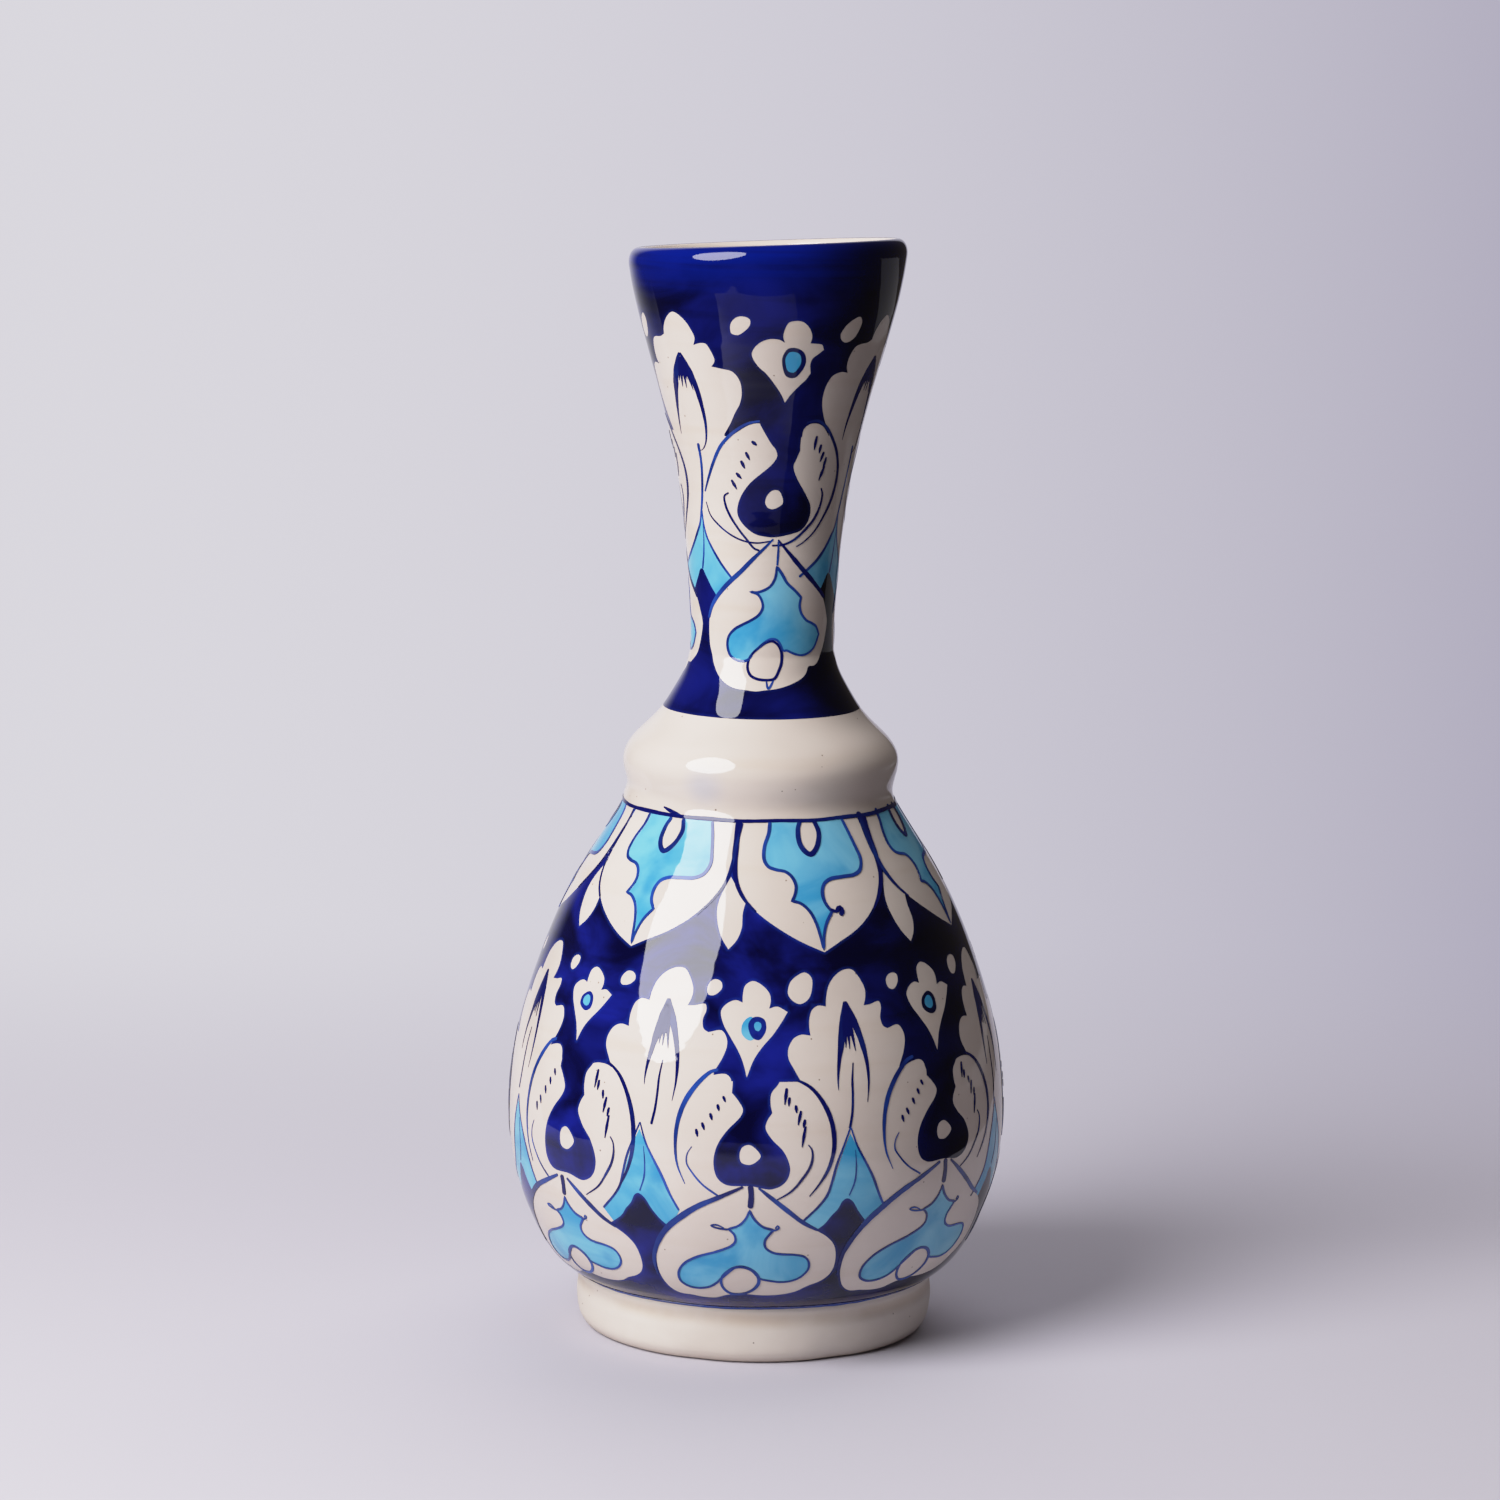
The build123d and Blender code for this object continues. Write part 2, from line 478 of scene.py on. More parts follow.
# ==== drawing ====
class Drawing:
    """Fills and brush lines for one painted zone, in the order in which they were brushed."""

    def __init__(self, zone, span, mm_per_degree):
        self.zone = zone
        self.low, self.high = span
        self.mm_per_degree = mm_per_degree
        self.fills = []
        self.lines = []
        self.place()

    def place(self, turn=0.0, rise=0.0, wide=1.0, tall=1.0, about=(0.0, 0.0)):
        """What is drawn next is moved by turn and rise, after stretching about a point."""
        self.move = (turn, rise, wide, tall, about)

    def at_each(self, places, about=(0.0, 0.0)):
        """Gives the places one by one, and what is drawn meanwhile goes there."""
        for place in places:
            self.place(*place, about=about)
            yield place
        self.place()

    def placed(self, points):
        turn, rise, wide, tall, about = self.move
        moved = []
        for point in points:
            x = about[0] + (point[0] - about[0]) * wide + turn
            y = about[1] + (point[1] - about[1]) * tall + rise
            moved.append((x, y) + tuple(point[2:]))
        return moved

    def fill(self, paint, outline):
        flat = smooth(self.placed(outline), True, self.mm_per_degree, OUTLINE_STEP)
        self.fills.append((paint, drift(flat, self.low, self.high)))

    def line(self, points, widths, ink, closed=False):
        """Widths are shares of the brush's fullness along the line; ink runs from 0, pale, to 1."""
        flat = smooth(self.placed(points), closed, self.mm_per_degree, LINE_STEP)
        self.lines.append((drift(flat, self.low, self.high), widths, ink, closed))

    def round_line(self, height, sways, widths, ink):
        """A line all round the vase, that comes back over its start behind and sways a little."""
        turns = range(-182, 183, 7)
        self.line([(t, height + 0.11 * math.sin(math.radians(sways * t))) for t in turns], widths, ink)


def smooth(points, closed, mm_per_degree, step):
    """A smooth line through the points, sharp at those marked C, sampled about every step mm."""
    flat = [Vector((p[0] * mm_per_degree, p[1])) for p in points]
    sharp = [len(p) > 2 for p in points]
    count = len(flat)
    samples = []
    for i in range(count if closed else count - 1):
        j = (i + 1) % count
        a, b = flat[i], flat[j]
        open_start = sharp[i] or (not closed and i == 0)
        open_end = sharp[j] or (not closed and j == count - 1)
        before = a * 2 - b if open_start else flat[i - 1]
        after = b * 2 - a if open_end else flat[(j + 1) % count]
        pieces = max(1, math.ceil((b - a).length / step))
        for k in range(pieces):
            samples.append(catmull_rom(before, a, b, after, k / pieces))
    if not closed:
        samples.append(flat[-1])
    return np.array([(s.x / mm_per_degree, s.y) for s in samples])


def catmull_rom(p0, p1, p2, p3, t):
    """Centripetal, so that uneven spacing makes no loops."""
    ta = max((p1 - p0).length, 1e-6) ** 0.5
    tb = ta + max((p2 - p1).length, 1e-6) ** 0.5
    tc = tb + max((p3 - p2).length, 1e-6) ** 0.5
    at = ta + (tb - ta) * t
    a1 = p0 * ((ta - at) / ta) + p1 * (at / ta)
    a2 = p1 * ((tb - at) / (tb - ta)) + p2 * ((at - ta) / (tb - ta))
    a3 = p2 * ((tc - at) / (tc - tb)) + p3 * ((at - tb) / (tc - tb))
    b1 = a1 * ((tb - at) / tb) + a2 * (at / tb)
    b2 = a2 * ((tc - at) / (tc - ta)) + a3 * ((at - ta) / (tc - ta))
    return b1 * ((tb - at) / (tb - ta)) + b2 * ((at - ta) / (tb - ta))


def drift(flat, low, high):
    """The painter's hand was never twice the same, so the motifs at the back differ a little."""
    moved = []
    for turn, height in flat:
        away = abs(turned_by(turn))
        amount = min(max((away - 78) / 20, 0), 1)
        if amount:
            angle = math.radians(turn)
            spot = Vector((math.sin(angle) * 2.6, math.cos(angle) * 2.6, height / 14))
            turn += 2.4 * amount * noise.noise(spot)
            inside = min(max(min(height - low, high - height) / 10, 0), 1)
            height += 2.0 * amount * inside * noise.noise(spot + Vector((7.3, 1.1, 4.2)))
        moved.append((turn, height))
    return np.array(moved)


def band(low, high):
    """Corners of a belt that goes round the vase a little more than once."""
    return [(-185, low, C), (185, low, C), (185, high, C), (-185, high, C)]


def oval(turn, height, half_wide, half_tall, lean=0.0):
    """Corners of a hand-drawn oval; lean moves its top right by that share of its half width."""
    corners = []
    for i in range(9):
        angle = math.tau * i / 9
        x, y = math.cos(angle), math.sin(angle)
        bulge = 1 + 0.06 * math.sin(3 * angle + turn)
        x += lean * y
        corners.append((turn + x * half_wide * bulge, height + y * half_tall * bulge))
    return corners


# ==== paint as thin layers ====
def overlay(drawing):
    """Cuts the zone into triangles along every outline: places, triangles and each one's paint.

    Where fills lie over each other the last one wins, as it does under a brush.
    """
    scale = drawing.mm_per_degree
    edge = 180 * scale
    points = []
    loops = []
    count = int(round(2 * edge / PAINT_GRID))
    bottom = [(-edge + 2 * edge * i / count, drawing.low) for i in range(count + 1)]
    side = rows(drawing.low, drawing.high, PAINT_GRID)
    right = [(edge, z) for z in side[1:-1]]
    top = [(x, drawing.high) for x, _ in reversed(bottom)]
    left = [(-edge, z) for z in reversed(side[1:-1])]
    border = bottom + right + top + left
    points += border
    loops.append(list(range(len(border))))
    paints = ["bare"]
    for paint, flat in drawing.fills:
        for shift in (-360, 0, 360):
            moved = np.array([((turn + shift) * scale, height) for turn, height in flat])
            if moved[:, 0].max() < -edge or moved[:, 0].min() > edge:
                continue
            if turned_clockwise(moved):
                moved = moved[::-1]
            loops.append(list(range(len(points), len(points) + len(moved))))
            points += [tuple(p) for p in moved]
            paints.append(paint)
    near = KDTree(len(points))
    for i, (x, y) in enumerate(points):
        near.insert((x, y, 0), i)
    near.balance()
    for row, z in enumerate(side[1:-1]):
        for i in range(count):
            x = -edge + 2 * edge * (i + 0.5 * (row % 2) + 0.25) / count
            if near.find((x, z, 0))[2] > (0.45 * PAINT_GRID if z < LIP_LOW else 0.15):
                points.append((x, z))
    cut = delaunay_2d_cdt([Vector(p) for p in points], [], loops, 0, 1e-5)
    places = np.array([(p.x / scale, p.y) for p in cut[0]])
    triangles = []
    chosen = []
    for face, sources in zip(cut[2], cut[5]):
        if 0 in sources:
            triangles.append(face)
            chosen.append(paints[max(sources)])
    return places, np.array(triangles), chosen


def turned_clockwise(loop):
    following = np.roll(loop, -1, axis=0)
    return (loop[:, 0] * following[:, 1] - following[:, 0] * loop[:, 1]).sum() < 0


def joined_ends(places):
    """For each point, itself, or the point it meets where the drawing closes round the vase."""
    same = np.arange(len(places))
    starts = KDTree(len(places))
    for i, (turn, height) in enumerate(places):
        if turn < -179.999:
            starts.insert((height, 0, 0), i)
    starts.balance()
    for i, (turn, height) in enumerate(places):
        if turn > 179.999:
            found = starts.find((height, 0, 0))
            if found[2] is not None and found[2] < 0.02:
                same[i] = found[1]
    return same


def paint_layer(name, cut, paint):
    """A thin closed layer of one paint, flush with the clay's curve."""
    places, triangles, chosen = cut
    same = joined_ends(places)
    own = same[triangles[[p == paint for p in chosen]]]
    own = own[(own[:, 0] != own[:, 1]) & (own[:, 1] != own[:, 2]) & (own[:, 2] != own[:, 0])]
    used, own = np.unique(own, return_inverse=True)
    own = own.reshape(-1, 3)
    turn, height = places[used].T
    top, normals = surface(turn, height, PAINT_TOP)
    base, _ = surface(turn, height, PAINT_BASE)
    count = len(used)
    edges = np.concatenate([own[:, [0, 1]], own[:, [1, 2]], own[:, [2, 0]]])
    both = {tuple(e) for e in edges}
    border = [e for e in edges if (e[1], e[0]) not in both]
    faces = own.tolist() + (own[:, ::-1] + count).tolist()
    faces += [[b, a, a + count, b + count] for a, b in border]
    piece = new_piece(name, np.concatenate([top, base]), faces)
    piece.data.normals_split_custom_set_from_vertices([tuple(n) for n in np.concatenate([normals, normals])])
    tree = KDTree(len(border))
    for i, (a, b) in enumerate(border):
        tree.insert(top[a], i)
    tree.balance()
    depth = [tree.find(p)[2] / MM for p in top]
    set_attribute(piece, "depth", depth + depth)
    return piece


def set_attribute(piece, name, values):
    piece.data.attributes.new(name, "FLOAT", "POINT").data.foreach_set("value", values)


def brush_lines(name, drawing):
    """Every brush line of a drawing as one piece: ribbons that swell, thin out and end round."""
    points = []
    normals = []
    faces = []
    inks = []
    for number, (flat, widths, ink, closed) in enumerate(drawing.lines):
        turn, height, half = ribbon(flat, widths, closed, number)
        side_turn, side_height = across(turn, height, closed)
        first = len(points)
        count = len(turn)
        for lift in (LINE_TOP + LINE_RISE * number, LINE_BASE):
            for side in (-half, half):
                layer, layer_normals = surface(turn + side * side_turn, height + side * side_height, lift)
                points += list(layer)
                normals += list(layer_normals)
        inks += [ink_at(ink, i / max(count - 1, 1), number) for i in range(count)] * 4
        left, right, low_left, low_right = (first + count * k for k in range(4))
        for i in range(count if closed else count - 1):
            j = (i + 1) % count
            faces.append([left + i, right + i, right + j, left + j])
            faces.append([low_left + j, low_right + j, low_right + i, low_left + i])
            faces.append([left + j, low_left + j, low_left + i, left + i])
            faces.append([right + i, low_right + i, low_right + j, right + j])
        if not closed:
            last = count - 1
            faces.append([left, low_left, low_right, right])
            faces.append([right + last, low_right + last, low_left + last, left + last])
    piece = new_piece(name, points, faces)
    piece.data.normals_split_custom_set_from_vertices([tuple(n) for n in normals])
    set_attribute(piece, "ink", inks)
    return piece


def ink_at(ink, share, number):
    wander = noise.noise((share * 4, number * 1.7, 0.5))
    return min(max(ink + 0.35 * wander, 0), 1)


def mm_per_degree_at(height):
    return math.pi / 180 * np.interp(height, HEIGHTS, OUTER)


def ribbon(flat, widths, closed, number):
    """Turns, heights and half widths in mm along a line, with round or pointed ends."""
    turn, height = flat.T
    lean = np.hypot(1, slope_at(height))
    wide = mm_per_degree_at(height)
    steps = np.hypot(np.diff(turn) * (wide[1:] + wide[:-1]) / 2, np.diff(height) * lean[1:])
    along = np.concatenate([[0], np.cumsum(steps)])
    total = along[-1]
    start, end = max(widths[0], 0.1) / 2, max(widths[-1], 0.1) / 2
    if not closed:
        caps = [share * start for share in (0.02, 0.15, 0.5, 1)]
        caps += [total - share * end for share in (0.02, 0.15, 0.5, 1)]
        finer = np.unique(np.concatenate([along, [c for c in caps if 0 < c < total]]))
        turn = np.interp(finer, along, turn)
        height = np.interp(finer, along, height)
        along = finer
    half = LINE_WIDTH * np.interp(along / total, np.linspace(0, 1, len(widths)), widths) / 2
    if not closed:
        half = half * rounded_end(along / start) * rounded_end((total - along) / end)
    shake = [1 + 0.12 * noise.noise((a * 0.35, number * 3.1, 0)) for a in along]
    return turn, height, np.maximum(half * np.array(shake), 0.02)


def rounded_end(near):
    """A half circle's shape: near is the distance from the end, in half widths."""
    return np.sqrt(np.clip(1 - np.clip(1 - near, 0, 1) ** 2, 0, 1))


def across(turn, height, closed):
    """For each point of a line, the step in degrees and mm that lies 1 mm to its left."""
    if closed:
        ahead = turned_by(np.roll(turn, -1) - np.roll(turn, 1))
        climb = np.roll(height, -1) - np.roll(height, 1)
    else:
        ahead = np.gradient(turn)
        climb = np.gradient(height)
    wide = mm_per_degree_at(height)
    lean = np.hypot(1, slope_at(height))
    x, y = ahead * wide, climb * lean
    length = np.maximum(np.hypot(x, y), 1e-9)
    return y / length / wide, -x / length / lean


# ==== the body's motifs ====
BULB = [
    (-5.6, 85.5, C), (-5.6, 81), (-5.7, 79.3, C), (-4.4, 77.6), (-3.1, 75), (-3.6, 73.2), (-6.8, 69),
    (-8.8, 65), (-9.5, 60.5), (-8.6, 56.4), (-6.6, 54.6), (-1, 54.4), (3.5, 53.6), (6.4, 55.3),
    (7.6, 58.8), (6.2, 63.7), (3.4, 67.3), (2, 70.2), (2.4, 72.2), (3.5, 74.2, C), (3.1, 76.4),
    (3.3, 79.4), (5, 82), (5.5, 85.5, C),
]
BULB_DOT = [(-3.7, 62.9), (-3.1, 65), (-1.6, 65.7), (0, 64.5), (1, 62.5), (-1.2, 60.3), (-3.2, 60.8)]
LEFT_WING = [
    (-5.6, 81), (-6.2, 83.2), (-7.2, 84.1), (-9.5, 83.9), (-12.2, 82.6), (-14.6, 79.4), (-16.6, 75.4),
    (-17.8, 70), (-17.9, 64), (-17.3, 58.5), (-15.6, 53), (-13, 48, C), (-2, 50, C), (-2, 74, C),
]
RIGHT_WING = [
    (3.1, 79.5), (4, 81.2), (6, 82.1), (9, 82.1), (11.4, 81), (13.6, 78.6), (15.4, 75.4), (16.8, 71.5),
    (17.4, 67), (17.1, 62.5), (15.9, 58), (13.5, 53.5), (11, 49, C), (0, 50, C), (0, 74, C),
]
LEFT_ARC = [
    (-9, 85.2), (-10.8, 84.5), (-13.8, 81.2), (-16.4, 76.5), (-17.9, 71), (-18.3, 65),
    (-17.8, 59.5), (-16, 54.2),
]
RIGHT_ARC = [
    (9, 82.7), (10, 82.3), (12.5, 80.5), (15, 76.9), (16.9, 71.9), (17.6, 66.5), (17.2, 62),
    (16, 58), (14, 54.2), (12.1, 51.4),
]
LEFT_FOLD = [(-14.5, 64.6), (-15.5, 62.5), (-15.6, 60), (-14.5, 57.8), (-12, 54.4), (-8.4, 51.4)]
RIGHT_FOLD = [(11.6, 65.6), (12.4, 64.3), (12.6, 62), (12, 59.3), (10.5, 56.5), (8, 53), (4, 50.1)]
LEFT_TICKS = [
    [(-13.6, 69.4), (-13.2, 67.3)], [(-12.3, 71.2), (-11.7, 69.2)], [(-10.5, 73.8), (-10, 71.9)],
    [(-8.9, 76.2), (-8.5, 74.4)], [(-7.7, 78.4), (-7.1, 76.8)],
]
RIGHT_TICKS = [
    [(6.8, 80.7), (6.3, 76.3)], [(7.4, 78.3), (7.2, 75.9)], [(8.8, 76.2), (9, 74.1)],
    [(10, 74.7), (9.3, 70.9)], [(10.9, 72.4), (10.5, 70.2)], [(11, 70.6), (10.2, 65)],
]
KITE = [
    (-1.5, 107.9), (0.8, 107), (2.9, 104.8), (3.2, 102.8), (2.8, 101, C), (4.8, 101.5), (7.4, 100.1, C),
    (6, 97.8), (3.8, 94.5), (1, 91), (-0.8, 88), (-2.4, 83.4, C), (-3.3, 87), (-4.5, 90), (-6.5, 93.5),
    (-8.5, 97), (-9.2, 100.2), (-7.5, 102.3), (-5.5, 103), (-3.9, 102.4, C), (-3.9, 104.5), (-3.4, 106.7),
]
LEAF = [
    (10, 82.5, C), (8.6, 85.4), (7.3, 88.3), (7.3, 90.8), (8.6, 93.3), (10.5, 94.3), (12.8, 94, C),
    (12.6, 96), (12.8, 98.5), (13.6, 100.5), (15.2, 101.5), (17.2, 101.2, C), (17.5, 103.5),
    (18.5, 106.5), (20.5, 108.8), (23, 110.1), (25.5, 110.1), (27, 108.5), (28.5, 105), (28.2, 102.5),
    (27.5, 100.8, C), (29.5, 101), (32, 101.5), (32.4, 100), (31.7, 97.5), (32.1, 95.2), (33.3, 94.4, C),
    (36.5, 95), (37.8, 93), (37.9, 91), (37, 88), (35.2, 84.4, C), (35, 80, C), (10, 80, C),
]
LEFT_FLAME = [(22.3, 102.2), (21.4, 97), (20.3, 91.5), (19.3, 86), (18.9, 82), (18.9, 79.6)]
RIGHT_FLAME = [(22.5, 102.2), (24.2, 97), (25.7, 91.5), (26.5, 86), (26.5, 81), (25.9, 76)]
STEM = [(22.9, 86.5), (22.4, 82), (22.3, 78), (22, 73.5), (21.3, 69.3)]
LEFT_SPLIT = [(21.5, 69.8), (19.9, 65), (18.3, 60), (17.2, 55), (16.3, 51.6), (14.5, 48.6), (11, 44.4)]
RIGHT_SPLIT = [(21.5, 69.8), (23.1, 64.5), (25, 60.3), (27, 56), (29, 50.7), (30.9, 46.6)]
SPLIT_MIDDLE = [(22.6, 63.5), (22.9, 59), (22.7, 55), (21.5, 51)]
WEDGE = [
    (21.4, 68, C), (19.8, 63.5), (18.4, 58.5), (17.2, 53.8), (14.8, 49), (11, 44.4, C), (15.5, 38, C),
    (27, 38, C), (31, 46.6, C), (28.7, 51), (26.6, 56.3), (24.5, 61),
]
PEAK = [
    (21, 50.3), (20, 49.6), (19, 47.4), (17.5, 45.5), (16, 43.2), (12, 40, C), (8, 30, C), (8, 18, C),
    (36, 18, C), (36, 30, C), (29, 41, C), (26.3, 43.4), (24.2, 46.3), (22.4, 49.4),
]
PALMETTE = [
    (-2, 54.5, C), (-6, 52.3), (-10, 50), (-14, 47.2), (-18, 43.6), (-21.5, 39.5), (-24, 35), (-25, 30.5),
    (-24.8, 26.5), (-23.3, 23), (-21, 21.2), (-17.5, 20.8), (-14, 20.3), (-10.5, 20.4), (-7.5, 21.5),
    (-3, 22), (3, 21.6), (8, 22), (11, 22.8), (14, 24.5), (17, 25.8), (19, 27.5), (20, 30), (19.9, 34),
    (19, 37), (17, 39.5), (14, 41.7), (11, 43.7), (7, 47), (3.5, 50.5),
]
PALMETTE_LEFT = [
    (-2.8, 54.2), (-8, 51.2), (-13, 48.3), (-17, 45.1), (-21, 41), (-24, 36), (-25.6, 31), (-25.5, 26.5),
]
PALMETTE_RIGHT = [(0.6, 54), (4.5, 50.2), (8, 46.8), (11, 44), (14.6, 41.6)]
PALMETTE_HEART = [
    (-1.3, 47.6, C), (-2.2, 45.2), (-3.8, 43.2), (-6.2, 42.1, C), (-4.9, 40.6), (-4.6, 38.6),
    (-5.5, 37.2), (-9, 35.3), (-14, 33.3), (-17.5, 31), (-19.5, 28), (-19.4, 25.3), (-17.5, 23.8),
    (-15, 23.4), (-12, 24), (-10, 25.3), (-8.6, 26.8), (-6.5, 29), (-4.8, 30.5), (-3, 30.8), (-1, 30),
    (0.5, 28.2), (1.4, 27.2), (4, 26.5), (6.5, 26.1), (9.5, 26.4), (12, 27.8), (13.4, 30),
    (13.2, 32.3), (12, 33.8), (9.5, 34.5), (6, 34.8), (4.2, 35.3), (2.5, 36.8), (2.3, 38.8),
    (3.2, 40.5), (4.2, 42, C), (1.8, 42.9), (0.2, 44.5), (-0.7, 46),
]
PALMETTE_OVAL = [
    (-8.2, 27.5), (-7, 29), (-5, 30.5), (-3, 30.8), (-0.8, 29.9), (0.8, 28), (1.1, 26), (0.3, 24.3),
    (-1.5, 22.8), (-4, 22), (-6.6, 22.3), (-8.2, 24), (-8.6, 25.8),
]
LEFT_CURL = [(-5.6, 42), (-7.5, 42), (-9.6, 42.5), (-10.2, 42.9), (-9, 43.2), (-7.2, 42.3)]
RIGHT_CURL = [(3.6, 41.8), (4.8, 42), (5.5, 42.7), (5.1, 43.2), (4.6, 42.4)]
PETAL = [
    (-8, 147.3, C), (-8.2, 143), (-8.3, 139), (-7.9, 135), (-6.5, 131.2), (-4, 127.7), (0, 124.5),
    (6, 120.8), (12, 117.6), (18.4, 114.8, C), (23, 117), (30, 120.2), (36, 124), (41, 128.4),
    (44.4, 133), (45.9, 138), (46.6, 142), (47.8, 147.3, C),
]
PETAL_LEFT = [(-8.8, 147.3), (-9, 141), (-8.8, 136.5), (-7.4, 131.8), (-4.6, 128), (-1, 125)]
PETAL_RIGHT = [(48.6, 147.3), (47, 141.5), (46.4, 137.5), (44.8, 132.6), (41.5, 128.4), (37, 124.3)]
PETAL_HEART = [
    (4, 147.3, C), (3.5, 144.5), (1.7, 141), (1.5, 138), (2.9, 136.2), (5.5, 135.4), (9, 134.8),
    (11, 133.5), (12, 131.5), (11.5, 129.5), (10.3, 127.7, C), (13, 127), (15.5, 125), (17, 122),
    (17.8, 118.5), (18.3, 115.6, C), (18.9, 119), (20.2, 122), (22.5, 124.7, C), (20.8, 127),
    (20.5, 129.5), (21.6, 131.5), (24, 132.6), (29, 133), (34, 133.3), (37, 134.5), (38.6, 137),
    (38.2, 140), (37.2, 144), (36, 147.3, C),
]
PETAL_OVAL = [
    (16.7, 147.3, C), (15.3, 145), (15.2, 142), (16.6, 139.9), (18.8, 138.9), (21, 139.9), (23, 142),
    (23.9, 144.5), (22.7, 147.3, C),
]
DROP = [
    (-9.6, 133.5, C), (-11.2, 130.8), (-12.6, 127.5), (-12.8, 125), (-12, 121.5), (-10.5, 118.3),
    (-8.4, 115.6, C), (-6.2, 118), (-5, 121), (-4.9, 124.8), (-4.1, 127.6, C), (-7.2, 130.8),
]

# Where the motifs stand: turn, rise, and width and height against the ones drawn above, which are
# stretched about the point named with them. What is left out is 0, 1 and 1.
TULIP_AXIS = (-1.0, 54.0)
TULIPS = [
    (-46.5, -2.5, 1.02, 1.14), (0,), (49, 3, 1.05, 0.94), (101.5, 0.5), (154, -1, 1.02, 1.03),
    (-153.5, 1, 1, 0.98), (-101, -0.5, 0.98, 1.02),
]
PALMETTE_AXIS = (-2.3, 20.5)
PALMETTES = [
    (-49, -0.2, 0.98, 0.9), (0,), (49.3, 0.6, 1.1, 1.06), (102.5, 0, 1.02, 1.02), (155, 0, 1, 0.97),
    (-152.5, 0, 1.03, 1.02), (-100.5, 0, 1, 0.96),
]
KITE_AXIS = (-1.5, 83.4)
KITES = [
    (-46, 4.5, 0.85, 0.8), (0,), (50.3, 3.2, 1, 0.94), (103, 1.5, 1, 0.9), (155, 0, 1, 0.95),
    (-152, 1, 1, 0.9), (-100, 1, 0.95, 0.95),
]
LEAF_AXIS = (22.5, 95)
LEAVES = [(-93, 0.6), (-45.5, 0.2, 1.02), (0,), (50.5, -1), (105, 0, 1.02), (157, 0.5, 1.05), (-150.5,)]
WEDGE_AXIS = (22.5, 44)
WEDGES = [(-93, -1.5), (-48.5,), (0,), (51, -1), (105,), (157,), (-150.5, -0.5)]
PETAL_AXIS = (19, 147.3)
PETALS = [
    (-109.4, 0, 0.9), (-56, -0.6), (0,), (53.5, 1, 0.95), (105, 0, 0.85), (153, 0, 0.85), (-159, 0, 0.85),
]
DROP_AXIS = (-8.4, 115.6)
DROPS = [(-107,), (-53, 0.4, 1.2), (0,), (56, -0.5, 1.1), (108.6, 0, 1.1), (156.6, 0, 1.1), (-155, 0, 1.1)]
# Turn, height and half sizes in degrees and mm
BODY_DOTS = [
    (-57, 107.3, 1.8, 2), (-36, 106.2, 2.2, 1.9), (-11.3, 106, 1.9, 2.1), (11, 106, 3.2, 3.9),
    (37.3, 106.2, 2, 2.1), (63, 107, 2.4, 2.5), (-85, 107, 2, 2), (88, 106.5, 2, 2.2), (115, 107, 2, 2),
    (139, 106.5, 2.1, 2), (167, 107, 2, 2.2), (-168, 106, 2, 2), (-139, 106.5, 2.2, 2), (-116, 107, 2, 2),
]

# How full of colour the brush was
MEDIUM = 0.35
DARK = 0.8


def body_fills(body):
    body.fill("cobalt", band(82.3, 150))
    for _ in body.at_each(LEAVES, LEAF_AXIS):
        body.fill("bare", LEAF)
    for _ in body.at_each(TULIPS, TULIP_AXIS):
        body.fill("bare", LEFT_WING)
        body.fill("bare", RIGHT_WING)
    for _ in body.at_each(TULIPS, TULIP_AXIS):
        body.fill("cobalt", BULB)
        body.fill("bare", BULB_DOT)
    for _ in body.at_each(KITES, KITE_AXIS):
        body.fill("bare", KITE)
    for dot in BODY_DOTS:
        body.fill("bare", oval(*dot, 0.25))
    for _ in body.at_each(DROPS, DROP_AXIS):
        body.fill("bare", DROP)
    for _ in body.at_each(PETALS, PETAL_AXIS):
        body.fill("bare", PETAL)
        body.fill("turquoise", PETAL_HEART)
        body.fill("bare", PETAL_OVAL)
    for _ in body.at_each(WEDGES, WEDGE_AXIS):
        body.fill("turquoise", WEDGE)
        body.fill("cobalt", PEAK)
    body.fill("cobalt", band(14, 24))
    for _ in body.at_each(PALMETTES, PALMETTE_AXIS):
        body.fill("bare", PALMETTE)
        body.fill("turquoise", PALMETTE_HEART)
        body.fill("bare", PALMETTE_OVAL)
    for turn, *_ in body.at_each(KITES, KITE_AXIS):
        if turn in (0, 155, -100):
            body.fill("turquoise", oval(-2, 95.8, 1.9, 3))
            body.fill("cobalt", oval(-0.1, 96.1, 2.2, 3))
            body.fill("turquoise", oval(0, 96.5, 0.9, 1.2))
        else:
            body.fill("cobalt", oval(-1.9, 96.7, 2.7, 3.1))
            body.fill("turquoise", oval(-2, 96.9, 1.5, 1.8))


